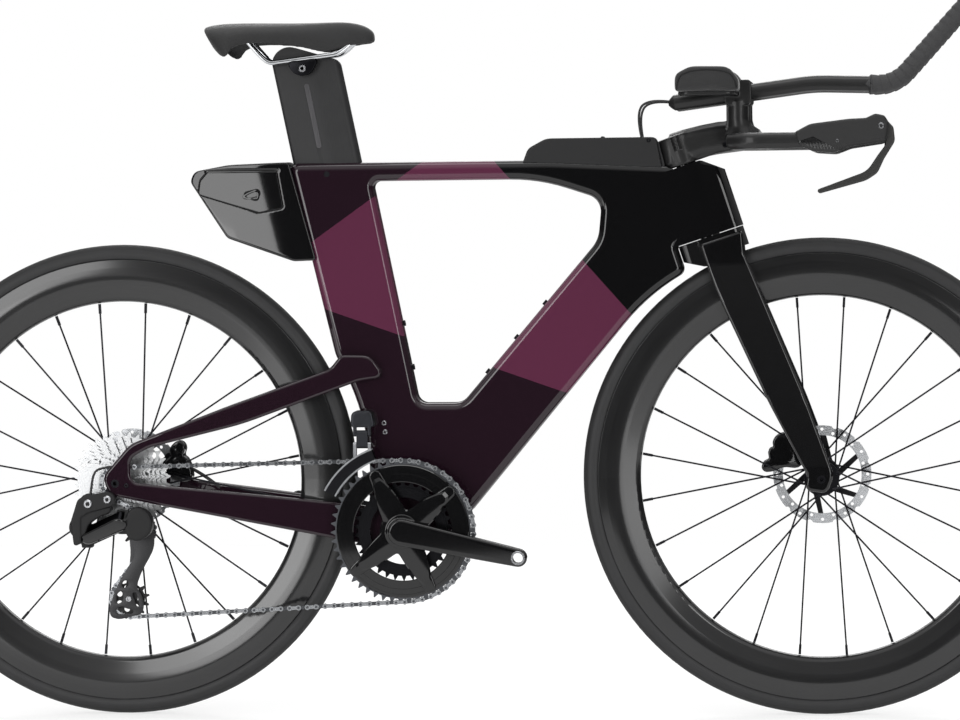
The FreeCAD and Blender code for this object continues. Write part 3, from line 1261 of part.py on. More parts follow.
saddle = Part.makeLoft([saddle_station(*row) for row in (
    (-146, 28, 44.5, 37, 27), (-136, 56, 48, 31, 16), (-110, 66, 51.5, 26, 4), (-70, 58, 51.5, 28, 15),
    (-25, 41, 50.5, 29, 15), (16, 28, 51, 31, 11), (56, 21, 52, 33, 12), (88, 17, 47, 31, 16),
    (102, 9, 36, 29, 20))], True, False)
saddle_hollow = [
    (CLAMP_CENTRE[0] - 122, 34, 8), (CLAMP_CENTRE[0] - 20, 28, 20), (CLAMP_CENTRE[0] + 44, 15, 6),
    (CLAMP_CENTRE[0] + 44, -15, 6), (CLAMP_CENTRE[0] - 20, -28, 20), (CLAMP_CENTRE[0] - 122, -34, 8),
]
saddle = saddle.cut(sheet(saddle_hollow, CLAMP_CENTRE[1] - 20, CLAMP_CENTRE[1] + 32))
saddle = saddle.cut([rail(y, RAIL_RADIUS + SEAT) for y in (-RAIL_Y, RAIL_Y)])
save("saddle", saddle)
save("saddle_rails", rail(-RAIL_Y, RAIL_RADIUS), rail(RAIL_Y, RAIL_RADIUS))
ear_side = [
    at(on_rail(-20, 5), 3),
    at(on_rail(20, 5), 3),
    at(on_rail(15, -22), 8),
    at(on_rail(-14, -22), 8),
]
rail_start = on_rail(-60, 0)
rail_along = Vector(math.cos(RAIL_TURN), 0, math.sin(RAIL_TURN))
rail_bore = Part.makeCylinder(RAIL_RADIUS + RUN, 120, Vector(rail_start[0], -RAIL_Y, rail_start[1]), rail_along)
ear = slab(ear_side, -RAIL_Y - 6, -POST_HALF - SEAT).cut(rail_bore)
clamp_bolt = disc(CLAMP_BOLT, CLAMP_BOLT_RADIUS, -RAIL_Y - 9, RAIL_Y + 9)
save("saddle_clamp", joined([ear, mirrored(ear), clamp_bolt]))
save("seatpost", seatpost.cut(disc(CLAMP_BOLT, CLAMP_BOLT_RADIUS + SEAT, -40, 40)))

# Cockpit: base bar through the stem, risers with arm rests, and two bent extensions
BAR_TOP = BAR_HEIGHT + BAR_THICKNESS / 2
BAR_FOOT = BAR_HEIGHT - BAR_THICKNESS / 2
BAR_REAR = head(76, 0)[0] - 42.3
WING_CHORD = 49.0
HORN_END = 164.0
WING_FRONT = BAR_REAR + WING_CHORD
HORN_IN = BAR_HALF_SPAN - HORN_RADIUS
HORN_OUT = BAR_HALF_SPAN + HORN_RADIUS
bar_plan = [
    (WING_FRONT, HORN_IN, 30), (BAR_REAR + HORN_END, HORN_IN, 0), (BAR_REAR + HORN_END, HORN_OUT, 0),
    (BAR_REAR, HORN_OUT, 45), (BAR_REAR, -HORN_OUT, 45), (BAR_REAR + HORN_END, -HORN_OUT, 0),
    (BAR_REAR + HORN_END, -HORN_IN, 0), (WING_FRONT, -HORN_IN, 30),
]
base_bar = sheet(bar_plan, BAR_FOOT, BAR_TOP)
flat_edge = lambda edge: edge.BoundBox.ZLength < 1e-4 and edge.BoundBox.XMin < BAR_REAR + HORN_END - 1
base_bar = softened(base_bar, 8, flat_edge)
save("base_bar", base_bar)

STEM_FOOT = HEAD_LENGTH + CROWN_GAP
STEM_HALF = 19.0
stem_side = [
    at(head(-14, HEAD_LENGTH + 42)), at(head(0, HEAD_LENGTH + 43), 20), at((BAR_REAR - 3, BAR_TOP + 20), 16),
    at((BAR_REAR + 31, BAR_TOP + 13), 14), at((WING_FRONT + 2, BAR_TOP - 4), 10),
    at((WING_FRONT + 1, BAR_FOOT), 6), at((BAR_REAR - 16, BAR_FOOT - 6), 60), at(head(8, 95)),
    at(head(-14, 95)),
]
stem = slab(stem_side, -STEM_HALF, STEM_HALF)
stem = softened(stem, 5, on_sides(STEM_HALF))
stem = stem.fuse(steer_cylinder(COLLAR_RADIUS, STEM_FOOT, HEAD_LENGTH + 44))
stem = stem.cut([
    steer_cylinder(HEAD_WIDTH * 2, 0, STEM_FOOT),
    steer_cylinder(STEERER_RADIUS + SEAT, 0, STEERER_TOP + SEAT),
    base_bar,
])
save("stem", stem)

EXT_Y = EXTENSION_HALF_SPAN
EXT_REAR = (BAR_REAR - 76, BAR_TOP + 45)
EXT_KNEE = (BAR_REAR + 119, BAR_TOP + 70)
EXT_BEND = (BAR_REAR + 233, BAR_TOP + 66.5)
EXT_TIP = (BAR_REAR + 336, BAR_TOP + 181)
EXT_RISE = math.atan2(EXT_TIP[1] - EXT_BEND[1], EXT_TIP[0] - EXT_BEND[0])
BEND_RADIUS = 55.0
TAPE_START = 35.0


def bent(points, radius, bends):
    """Tube in the plane of the right extension."""
    return rod([(x, -EXT_Y, z) for x, z in points], radius, bends)


extension = bent([EXT_REAR, EXT_KNEE, EXT_BEND, EXT_TIP], EXTENSION_RADIUS, [250, BEND_RADIUS])
save("extensions", extension, mirrored(extension))
knee_run = math.atan2(EXT_BEND[1] - EXT_KNEE[1], EXT_BEND[0] - EXT_KNEE[0])
tape_start = polar(EXT_BEND, -TAPE_START, math.degrees(knee_run))
tape_end = polar(EXT_TIP, -4, math.degrees(EXT_RISE))
tape = bent([tape_start, EXT_BEND, tape_end], EXTENSION_RADIUS + TAPE_THICKNESS, [BEND_RADIUS])
tape = tape.cut(bent([EXT_KNEE, EXT_BEND, EXT_TIP], EXTENSION_RADIUS + SEAT, [BEND_RADIUS]))
save("extension_tape", tape, mirrored(tape))

# Shifters in the ends of the extensions, each with one push button on its inner side
SHIFTER_LENGTH = 34.0
BUTTON_RADIUS = 6.0
BUTTON_STROKE = 1.2
ext_axis = Vector(math.cos(EXT_RISE), 0, math.sin(EXT_RISE))
shift_base = Vector(EXT_TIP[0], -EXT_Y, EXT_TIP[1])
shifter = Part.makeCone(EXTENSION_RADIUS + 1.5, EXTENSION_RADIUS - 1, SHIFTER_LENGTH, shift_base, ext_axis)
button_centre = shift_base + ext_axis * SHIFTER_LENGTH * 0.55
button_well = Part.makeCylinder(BUTTON_RADIUS + GAP, 20, button_centre + ALONG_Y * 6, ALONG_Y)
button = Part.makeCylinder(BUTTON_RADIUS, 6.5, button_centre + ALONG_Y * (6 + BUTTON_STROKE + GAP), ALONG_Y)
shifter = shifter.cut(button_well)
save("shifter_bodies", shifter, mirrored(shifter))
save("shift_button_right", button)
save("shift_button_left", mirrored(button))

# Arm rests: risers on the wing, a clamp round each extension, and cups with foam pads
RISER_HALF = 10.0
PAD_REAR = BAR_REAR - 72
PAD_FRONT = BAR_REAR + 17
CUP_FOOT = BAR_TOP + 54
CUP_TOP = BAR_TOP + 59
riser_side = [
    at((BAR_REAR + 8.2, BAR_TOP)), at((WING_FRONT - 8.2, BAR_TOP)), at((BAR_REAR + 42, BAR_TOP + 6), 3),
    at((BAR_REAR + 30, BAR_TOP + 14), 8), at((BAR_REAR + 30, BAR_TOP + 50)), at((BAR_REAR - 3, BAR_TOP + 50)),
    at((BAR_REAR - 3, BAR_TOP + 14), 8), at((BAR_REAR - 6, BAR_TOP + 6), 3),
]
clamp_side = [
    at((BAR_REAR - 5, BAR_TOP + 41), 5), at((BAR_REAR - 5, BAR_TOP + 75), 5),
    at((BAR_REAR + 32, BAR_TOP + 76), 5), at((BAR_REAR + 32, BAR_TOP + 41), 5),
]
CLAMP_OUT = EXT_Y + EXTENSION_RADIUS + 4
CUP_OUT = EXT_Y + 76
cup_plan = [
    (PAD_REAR + 4, -CUP_OUT, 16), (PAD_FRONT - 3, -CUP_OUT, 16), (PAD_FRONT - 3, -CLAMP_OUT + 2, 2),
    (PAD_REAR + 4, -CLAMP_OUT + 2, 8),
]
rest = joined([
    slab(riser_side, -EXT_Y - RISER_HALF, -EXT_Y + RISER_HALF),
    slab(clamp_side, -CLAMP_OUT, -EXT_Y + EXTENSION_RADIUS + 4),
    sheet(cup_plan, CUP_FOOT, CUP_TOP),
]).cut(bent([EXT_REAR, EXT_KNEE, EXT_BEND], EXTENSION_RADIUS, [250]))
save("arm_rest_supports", rest, mirrored(rest))
pad_side = [
    at((PAD_REAR, CUP_TOP + SEAT), 3), at((PAD_REAR, CUP_TOP + 24), 12), at((PAD_REAR + 22, CUP_TOP + 35), 25),
    at((PAD_FRONT - 14, CUP_TOP + 34), 20), at((PAD_FRONT, CUP_TOP + 16), 10), at((PAD_FRONT, CUP_TOP + SEAT), 3),
]
pad_front = [
    (-CUP_OUT - 3, CUP_TOP - 2, 0), (-CUP_OUT - 5, CUP_TOP + 38, 6), (-CUP_OUT + 8, CUP_TOP + 38, 6),
    (-CUP_OUT + 19, CUP_TOP + 16, 15), (-CLAMP_OUT - 14, CUP_TOP + 16, 15), (-CLAMP_OUT - 8, CUP_TOP + 30, 5),
    (-CLAMP_OUT - 1, CUP_TOP + 30, 3), (-CLAMP_OUT - 1, CUP_TOP - 2, 0),
]
arm_pad = slab(pad_side, -CUP_OUT - 10, -EXT_Y).common(cross_slab(pad_front, PAD_REAR - 5, PAD_FRONT + 5))
save("arm_pads", arm_pad, mirrored(arm_pad))

# Brake levers on the horns
LEVER_PIVOT = (BAR_REAR + 214, BAR_TOP + 8)
LEVER_PIN = 3.0
LEVER_RIGHT = -BAR_HALF_SPAN - LEVER_BODY_WIDTH / 2
LEVER_LEFT = -BAR_HALF_SPAN + LEVER_BODY_WIDTH / 2
SLOT_RIGHT = -BAR_HALF_SPAN - LEVER_BLADE_WIDTH / 2 - 1
SLOT_LEFT = -BAR_HALF_SPAN + LEVER_BLADE_WIDTH / 2 + 1


def from_pivot(dx, dz):
    return (LEVER_PIVOT[0] + dx, LEVER_PIVOT[1] + dz)


hood_side = [
    at(from_pivot(-119, -8), 3), at(from_pivot(-98, 3), 25), at(from_pivot(-47, 9), 60),
    at(from_pivot(-22, 10), 8), at(from_pivot(-10, 16), 8), at(from_pivot(3, 13), 6),
    at(from_pivot(9, 3), 6), at(from_pivot(5, -22), 5), at(from_pivot(-44, -29), 20),
    at(from_pivot(-65, -37), 18), at(from_pivot(-94, -35), 18), at(from_pivot(-114, -26), 4),
]
hood = softened(slab(hood_side, LEVER_RIGHT, LEVER_LEFT), 5,
                lambda edge: on_face(LEVER_RIGHT)(edge) or on_face(LEVER_LEFT)(edge))
slot_side = [at(from_pivot(-17, -50)), at(from_pivot(30, -50)), at(from_pivot(30, 40)), at(from_pivot(-17, 40))]
hood = hood.cut([
    base_bar,
    slab(slot_side, SLOT_RIGHT, SLOT_LEFT),
    disc(LEVER_PIVOT, LEVER_PIN + RUN, LEVER_RIGHT + 3, LEVER_LEFT - 3),
])
save("lever_bodies", hood, mirrored(hood))
blade_side = [
    at(from_pivot(5, 8), 5), at(from_pivot(15, -3), 8), at(from_pivot(17, -22), 14), at(from_pivot(2, -46), 20),
    at(from_pivot(-7, -65), 16), at(from_pivot(-22, -75), 40), at(from_pivot(-85, -92), 3),
    at(from_pivot(-93, -88), 3), at(from_pivot(-21, -62), 30), at(from_pivot(-7, -41), 16),
    at(from_pivot(6, -24), 10), at(from_pivot(-5, -4), 5), at(from_pivot(-5, 5), 4),
]
BLADE_HALF = LEVER_BLADE_WIDTH / 2
blade = slab(blade_side, -BAR_HALF_SPAN - BLADE_HALF, -BAR_HALF_SPAN + BLADE_HALF)
blade = softened(blade, 2.5, lambda edge: on_sides(BLADE_HALF)(edge) or edge.BoundBox.YLength < 1e-4)
blade = blade.fuse(disc(LEVER_PIVOT, LEVER_PIN, LEVER_RIGHT + 4, LEVER_LEFT - 4))
save("brake_lever_right", blade)
save("brake_lever_left", mirrored(blade))

# Storage box behind the seat tube, with a door that swings up on its right side
box_side = [
    at((BB[0] - 305, TOP_TUBE_HEIGHT - 25), 10), at((BB[0] - 299, TOP_TUBE_HEIGHT - 10), 14),
    at((BB[0] - 248, TOP_TUBE_HEIGHT - 1), 90), at((BB[0] - 160, TOP_TUBE_HEIGHT + 2), 6),
    at((BB[0] - 122, TOP_TUBE_HEIGHT - 139), 4), at((BB[0] - 155, TOP_TUBE_HEIGHT - 140), 15),
    at((BB[0] - 252, TOP_TUBE_HEIGHT - 106), 14),
]


def shelled(corners, half, wall):
    """Box with a side-view outline, hollowed to an even wall; returns the box and its hollow."""
    hollow = Part.Face(outline(corners, side(-half + wall)).makeOffset2D(-wall))
    return slab(corners, -half, half), hollow.extrude(Vector(0, 2 * (half - wall), 0))


DOOR_TOP = TOP_TUBE_HEIGHT - 11
DOOR_REAR = BB[0] - 278
DOOR_FRONT = BB[0] - 178
DOOR_BARREL = 1.6
DOOR_PIN = 0.7
DOOR_RELIEF = 4.0
DOOR_PIN_HOLD = 3.0


def door_outline(grow):
    return [
        at((DOOR_REAR - grow, DOOR_TOP + grow)), at((DOOR_FRONT + grow, DOOR_TOP + grow)),
        at((DOOR_FRONT + 9 + grow, TOP_TUBE_HEIGHT - 64 - grow), 4),
        at((BB[0] - 204, TOP_TUBE_HEIGHT - 70 - grow), 6),
        at((DOOR_REAR - 15 - grow, TOP_TUBE_HEIGHT - 43 - grow), 5),
        at((DOOR_REAR - 12 - grow, TOP_TUBE_HEIGHT - 24), 8),
    ]


def door_rod(radius, x0, x1):
    return along_x((-BOX_HALF_WIDTH + BOX_WALL / 2, DOOR_TOP), radius, x0, x1)


box, box_hollow = shelled(box_side, BOX_HALF_WIDTH, BOX_WALL)
box = softened(box, 2, on_sides(BOX_HALF_WIDTH)).cut([box_hollow, triangle])
box = box.cut([slab(door_outline(GAP), -BOX_HALF_WIDTH - 1, -BOX_HALF_WIDTH + BOX_WALL + 1),
               door_rod(DOOR_BARREL + GAP, DOOR_REAR - DOOR_RELIEF, DOOR_FRONT + DOOR_RELIEF)])
box = box.fuse(door_rod(DOOR_PIN, DOOR_REAR - DOOR_RELIEF - DOOR_PIN_HOLD,
                        DOOR_FRONT + DOOR_RELIEF + DOOR_PIN_HOLD))
door = slab(door_outline(0), -BOX_HALF_WIDTH, -BOX_HALF_WIDTH + BOX_WALL)
door = door.fuse(door_rod(DOOR_BARREL, DOOR_REAR + GAP, DOOR_FRONT - GAP))
pull = stadium((BB[0] - 220, TOP_TUBE_HEIGHT - 45), (BB[0] - 207, TOP_TUBE_HEIGHT - 42), 5, 4.9,
               -BOX_HALF_WIDTH - 1, -BOX_HALF_WIDTH + BOX_WALL / 2)
door = door.cut([door_rod(DOOR_PIN + RUN, DOOR_REAR - 5, DOOR_FRONT + 5), pull])
save("storage_box", box)
save("storage_door", door)

# Bento box on the top tube, with a lid that swings forward
BENTO_REAR = BB[0] + 174
BENTO_TOP = TOP_TUBE_HEIGHT + 31
LID_REAR = BENTO_REAR + 40
LID_HINGE = (BENTO_REAR + 114, BENTO_TOP)
LID_THICKNESS = 4.0
LID_HALF = BENTO_HALF_WIDTH - 3
LID_BARREL = 2.0
LID_PIN = 0.8
bento_side = [
    at((BENTO_REAR, TOP_TUBE_HEIGHT - 4), 0), at((BENTO_REAR + 8, BENTO_TOP - 14), 16),
    at((BENTO_REAR + 34, BENTO_TOP), 30), at((BENTO_REAR + 190, BENTO_TOP), 8),
    at((BENTO_REAR + 200, TOP_TUBE_HEIGHT - 16), 0),
]
bento, bento_hollow = shelled(bento_side, BENTO_HALF_WIDTH, BENTO_WALL)
bento = softened(bento, 1.5, on_sides(BENTO_HALF_WIDTH)).cut([
    bento_hollow, frame, steer_cylinder(COLLAR_RADIUS + 3, 60, 240)])


def lid_slab(grow):
    corners = [at((LID_REAR - grow, BENTO_TOP - LID_THICKNESS)), at((LID_REAR - grow, BENTO_TOP)),
               at(LID_HINGE), at((LID_HINGE[0], BENTO_TOP - LID_THICKNESS))]
    return slab(corners, -LID_HALF - grow, LID_HALF + grow)


bento = bento.cut([lid_slab(GAP), disc(LID_HINGE, LID_BARREL + GAP, -LID_HALF - GAP, LID_HALF + GAP)])
bento = bento.fuse(disc(LID_HINGE, LID_PIN, -LID_HALF - 2, LID_HALF + 2))
lid = lid_slab(0).fuse(disc(LID_HINGE, LID_BARREL, -LID_HALF, LID_HALF))
save("bento_box", bento)
save("bento_lid", lid.cut(disc(LID_HINGE, LID_PIN + RUN, -30, 30)))

# Cables: brake hose and derailleur wire at the rear, and the shift wires at the cockpit
HOSE_RADIUS = 2.5
WIRE_RADIUS = 1.7
hose_route = [(-420, 60, 352), (-402, 58, 345), (-372, 54, 322)]
wire_route = [(-498, -76, 363), (-521, -79, 363), (-534, -86, 352), (-536, -86, 315)]
shift_route = [(300, -47, 871), (262, -42, 877), (244, -30, 855), (252, -14, 818)]
hose = rod(hose_route, HOSE_RADIUS, 30).cut([frame, rear_calliper])
wire = rod(wire_route, WIRE_RADIUS, 8).cut(frame).cut(bracket)
shift_wire = rod(shift_route, WIRE_RADIUS, 14).cut([extension, bento])
save("rear_cables", hose.Solids[0], wire.Solids[0])
save("cockpit_wires", shift_wire.Solids[0], mirrored(shift_wire.Solids[0]))
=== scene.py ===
from math import acos, atan2, copysign, cos, pi, radians, sin, tan

import bpy
import numpy
from mathutils import Matrix, Vector


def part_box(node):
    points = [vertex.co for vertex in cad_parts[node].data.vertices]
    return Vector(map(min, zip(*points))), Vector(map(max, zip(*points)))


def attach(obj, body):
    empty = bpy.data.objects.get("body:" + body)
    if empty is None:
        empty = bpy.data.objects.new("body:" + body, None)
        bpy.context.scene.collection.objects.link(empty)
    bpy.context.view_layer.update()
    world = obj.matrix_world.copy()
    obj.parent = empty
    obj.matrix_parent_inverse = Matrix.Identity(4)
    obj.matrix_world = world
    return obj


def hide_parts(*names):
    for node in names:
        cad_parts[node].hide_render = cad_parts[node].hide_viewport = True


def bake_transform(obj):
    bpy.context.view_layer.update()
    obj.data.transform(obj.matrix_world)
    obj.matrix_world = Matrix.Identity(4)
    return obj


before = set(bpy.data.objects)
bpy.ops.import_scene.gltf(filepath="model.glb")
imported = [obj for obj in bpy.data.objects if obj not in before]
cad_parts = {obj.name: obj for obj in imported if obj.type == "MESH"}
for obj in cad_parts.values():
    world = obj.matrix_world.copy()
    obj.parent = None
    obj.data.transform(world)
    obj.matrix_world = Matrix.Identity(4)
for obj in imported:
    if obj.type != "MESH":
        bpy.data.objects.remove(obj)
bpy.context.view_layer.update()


# Camera. The picture is taken from the drive side with a long lens, a little above the hubs
# and a little ahead of the bicycle, so that the wheels come out almost round.
VIEW_YAW = radians(5.8266)
VIEW_PITCH = radians(2.6652)
VIEW_ROLL = radians(-0.6964)
VIEW_DISTANCE = 5.49238
VIEW_TARGET = Vector((0.01569, 0, 0.5079))
VIEW_LENS = 144.011
VIEW_SENSOR = 36


def placed(name, data):
    """New object in the scene."""
    made = bpy.data.objects.new(name, data)
    bpy.context.scene.collection.objects.link(made)
    return made


back = Vector((sin(VIEW_YAW) * cos(VIEW_PITCH),
               -cos(VIEW_YAW) * cos(VIEW_PITCH), sin(VIEW_PITCH)))
level = Vector((cos(VIEW_YAW), sin(VIEW_YAW), 0))
upright = back.cross(level)
right = level * cos(VIEW_ROLL) + upright * sin(VIEW_ROLL)
up = upright * cos(VIEW_ROLL) - level * sin(VIEW_ROLL)
camera = placed("camera", bpy.data.cameras.new("camera"))
camera.data.sensor_fit = "HORIZONTAL"
camera.data.sensor_width = VIEW_SENSOR
camera.data.lens = VIEW_LENS
camera.data.clip_end = 100
camera.matrix_world = Matrix((right, up, back)).transposed().to_4x4()
camera.location = VIEW_TARGET + back * VIEW_DISTANCE
bpy.context.scene.camera = camera
bpy.context.scene.view_settings.view_transform = "Standard"


# Studio. A wide white floor under a bright ceiling. A tall light panel stands on either side of
# the camera, with a dark gap between them so that flat gloss sides stay dark and edges shine,
# and two low panels light the inner flanks of the rims.
class Value:
    """A node's output that sums and products can be written with."""

    def __init__(self, finish, socket):
        self.finish = finish
        self.socket = socket

    def math(self, operation, first, second, clamp=False):
        return self.finish.node("Math", {0: first, 1: second}, operation=operation, use_clamp=clamp)

    def __add__(self, other):
        return self.math("ADD", self, other)

    def __sub__(self, other):
        return self.math("SUBTRACT", self, other)

    def __rsub__(self, other):
        return self.math("SUBTRACT", other, self)

    def __mul__(self, other):
        return self.math("MULTIPLY", self, other)

    def __truediv__(self, other):
        return self.math("DIVIDE", self, other)

    def __pow__(self, other):
        return self.math("POWER", self, other)

    def __abs__(self):
        return self.math("ABSOLUTE", self, 0.0)

    __radd__ = __add__
    __rmul__ = __mul__

    def wave(self):
        return self.math("SINE", self, 0.0)

    def clamped(self):
        return self.math("ADD", self, 0.0, clamp=True)

    def between(self, low, high):
        """0 below low, 1 above high and a straight rise between them."""
        return ((self - low) / (high - low)).clamped()


class Finish:
    """A material, and the one way in which its nodes are made."""

    def __init__(self, name, **fixed):
        self.material = bpy.data.materials.new(name)
        self.material.use_nodes = True
        self.tree = self.material.node_tree
        self.shader = self.tree.nodes["Principled BSDF"]
        self.feed(**fixed)

    def link(self, value, socket):
        if isinstance(value, Value):
            self.tree.links.new(value.socket, socket)
        else:
            socket.default_value = value

    def node(self, kind, sockets=None, out=0, **settings):
        made = self.tree.nodes.new("ShaderNode" + kind)
        for key, value in settings.items():
            setattr(made, key, value)
        for key, value in (sockets or {}).items():
            self.link(value, made.inputs[key])
        return Value(self, made.outputs[out])

    def feed(self, **sockets):
        for key, value in sockets.items():
            self.link(value, self.shader.inputs[key.replace("_", " ")])

    @property
    def at(self):
        """Object coordinates."""
        return self.node("TexCoord", out=3)

    def axes(self):
        """X, Y and Z of the object coordinates."""
        at = self.at
        return [self.node("SeparateXYZ", {"Vector": at}, out=axis) for axis in range(3)]

    def noise(self, scale, detail=2.0, at=None):
        """Noise in object coordinates, or in others that are given."""
        return self.node("TexNoise", {"Vector": at or self.at, "Scale": scale, "Detail": detail})

    def drawn_out(self, stretch, scale, detail):
        """Noise that is drawn out along the axes."""
        return self.noise(scale, detail, self.node("Mapping", {"Vector": self.at, "Scale": stretch}))

    def cells(self, scale):
        """Distance from the middle of the nearest cell."""
        return self.node("TexVoronoi", {"Vector": self.at, "Scale": scale}, feature="F1")

    def blend(self, mask, under, over):
        return self.node("Mix", {0: mask, 6: under, 7: over}, out=2, data_type="RGBA")

    def tones(self, mask, dark, light):
        """Colour between two screen colours."""
        return self.blend(mask, tint(dark), tint(light))

    def parted(self, mask, pattern, under, over):
        """One pattern in two pairs of screen colours, the second where the mask is 1."""
        self.feed(Base_Color=self.blend(mask, self.tones(pattern, *under), self.tones(pattern, *over)))

    def bump(self, height, distance, strength=1.0):
        bump = self.node("Bump", {"Height": height, "Distance": distance, "Strength": strength})
        self.feed(Normal=bump)

    def worked(self, pattern, dark, light, rough, relief, spread=(0, 1)):
        """Let one pattern set the tone, the roughness (least, gain) and the relief (depth, strength)."""
        self.feed(Base_Color=self.tones(pattern.between(*spread), dark, light))
        self.feed(Roughness=rough[0] + pattern * rough[1])
        self.bump(pattern, *relief)


def tint(code):
    """Linear colour of a six-digit screen colour."""
    parts = [int(code[i:i + 2], 16) / 255 for i in (0, 2, 4)]
    return (*[c / 12.92 if c < 0.04045 else ((c + 0.055) / 1.055) ** 2.4 for c in parts], 1.0)


FLOOR_GLOW = 1.1
GLOW_SHARE = 0.6
bpy.ops.object.select_all(action="DESELECT")
bpy.ops.mesh.primitive_plane_add(size=5)
floor = bpy.context.object
floor.name = "floor"
floor_white = Finish("floor_white", Base_Color=(0.9, 0.9, 0.9, 1), Roughness=0.8)
seen = [floor_white.node("LightPath", out=name)
        for name in ("Is Camera Ray", "Is Glossy Ray", "Is Transmission Ray")]
glow = floor_white.node("Emission", {"Color": (1, 1, 1, 1), "Strength": FLOOR_GLOW})
lit = Value(floor_white, floor_white.shader.outputs[0])
share = (seen[0] + seen[1] + seen[2]).clamped() * GLOW_SHARE
shown = floor_white.node("MixShader", {0: share, 1: lit, 2: glow})
floor_white.link(shown, floor_white.tree.nodes["Material Output"].inputs["Surface"])
floor.data.materials.append(floor_white.material)

world = bpy.data.worlds.new("studio")
bpy.context.scene.world = world
world.use_nodes = True
sky = Finish.__new__(Finish)
sky.tree = world.node_tree
height = sky.node("SeparateXYZ", {"Vector": sky.node("TexCoord", out=0)}, out=2)
ceiling = 0.04 + height.between(0.1, 0.6) * 0.92 + (1 - height).between(1.1, 1.6) * 0.5
room = sky.node("Background", {"Color": (1, 1, 1, 1), "Strength": ceiling})
plain = sky.node("Background", {"Color": (1, 1, 1, 1), "Strength": 1.0})
camera_ray = sky.node("LightPath", out="Is Camera Ray")
whole = sky.node("MixShader", {0: camera_ray, 1: room, 2: plain})
sky.link(whole, world.node_tree.nodes["World Output"].inputs["Surface"])


def softbox(name, place, aim, width, height, power):
    lamp = placed(name, bpy.data.lights.new(name, "AREA"))
    lamp.data.shape = "RECTANGLE"
    lamp.data.size = width
    lamp.data.size_y = height
    lamp.data.energy = power
    lamp.location = place
    lamp.rotation_euler = (Vector(aim) - Vector(place)).to_track_quat("-Z", "Y").to_euler()


softbox("left_panel", (-2.1, -4.0, 1.3), (-0.2, 0, 0.8), 1.5, 2.4, 56)
softbox("right_panel", (2.4, -4.0, 1.3), (0.3, 0, 0.8), 1.3, 2.4, 42)
softbox("low_left_panel", (-1.26, -1.3, 0.3), (-0.35, 0, 0.45), 0.8, 0.55, 2.2)
softbox("low_right_panel", (1.1, -2.5, 0.26), (0.4, 0, 0.4), 0.75, 0.5, 3.8)
softbox("back_light", (0.0, 3.6, 3.2), (0, 0, 0.5), 4.0, 1.0, 60)
softbox("top_light", (0.0, -0.4, 4.2), (0, 0, 0.4), 3.6, 1.4, 39)


# Cables. The rear brake hose, the rear derailleur's wire and the two shift wires are black
# jacketed lines that leave one fitting and go back into the bicycle a hand's width on.
jacket = Finish("cable_jacket", Base_Color=tint("141415"), Roughness=0.42)
jacket.feed(Roughness=0.36 + jacket.noise(900.0) * 0.16)
jacket.bump(jacket.noise(2600.0), 0.00004)


def picked(piece):
    """Select one piece alone, since the operators act on all that is selected."""
    bpy.ops.object.select_all(action="DESELECT")
    piece.select_set(True)
    bpy.context.view_layer.objects.active = piece


def smooth_line(name, points, radius):
    """Curve on one smooth line, drawn by its own guiding points."""
    shape = bpy.data.curves.new(name, "CURVE")
    shape.dimensions = "3D"
    line = shape.splines.new("NURBS")
    line.points.add(len(points) - 1)
    for point, spot in zip(line.points, points):
        point.co = (*spot, 1.0)
    line.order_u = 3
    line.use_endpoint_u = True
    line.resolution_u = 16
    shape.bevel_depth = radius
    shape.bevel_resolution = 5
    shape.use_fill_caps = True
    return placed(name, shape)


def meshed(piece):
    """A curve's own mesh, in its place."""
    picked(piece)
    bpy.ops.object.convert(target="MESH")
    return bpy.context.object


def fitted(piece, finish, body, slot, *nodes):
    """Dress a new piece, fix it to its body and let it stand for its CAD nodes."""
    piece.data.materials.clear()
    piece.data.materials.append(finish.material)
    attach(piece, body)
    if nodes:
        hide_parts(*nodes)
    return piece


def on_side(route, way):
    """A route as it is drawn, or with -1 its mirror image on the other side."""
    return [(x, y * way, z) for x, y, z in route]


HOSE_RADIUS = 0.0025
WIRE_RADIUS = 0.0017
HOSE_ROUTE = [(-0.42, 0.06, 0.352), (-0.402, 0.058, 0.345), (-0.372, 0.054, 0.322)]
hose = smooth_line("rear_brake_hose", HOSE_ROUTE, HOSE_RADIUS)
fitted(hose, jacket, "frame", "rubber", "rear_cables")

WIRE_ROUTE = [(-0.498, -0.076, 0.363), (-0.521, -0.079, 0.363), (-0.534, -0.086, 0.352),
              (-0.536, -0.086, 0.315)]
wire = smooth_line("derailleur_wire", WIRE_ROUTE, WIRE_RADIUS)
fitted(wire, jacket, "frame", "rubber", "rear_cables")

SHIFT_ROUTE = [(0.3, -0.047, 0.871), (0.262, -0.042, 0.877), (0.244, -0.03, 0.855), (0.252, -0.014, 0.818)]
for hand, way in (("right", 1), ("left", -1)):
    route = on_side(SHIFT_ROUTE, way)
    shift_wire = smooth_line("shift_wire_" + hand, route, 0.0)
    followed = bpy.data.meshes.new_from_object(shift_wire)
    shift_wire.data.bevel_depth = WIRE_RADIUS
    shift_wire.data.materials.append(jacket.material)
    shift_wire = meshed(shift_wire)
    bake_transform(shift_wire)
    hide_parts("cockpit_wires")


# Frame. One carbon moulding, painted dark aubergine with a plum field that three slanted lines
# cut out of it, black towards the head, under a thick clear coat.
def dress(finish, *nodes):
    """Give CAD pieces their finish."""
    for name in nodes:
        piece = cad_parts[name]
        piece.data.materials.clear()
        piece.data.materials.append(finish.material)


def left_of(x, z, start, end):
    """1 on the left of the line from start to end in side view, and 0 on its right."""
    run = (Vector(end) - Vector(start)).normalized()
    reach = (z - start[1]) * run[0] - (x - start[0]) * run[1]
    return reach.between(-0.0002, 0.0002)


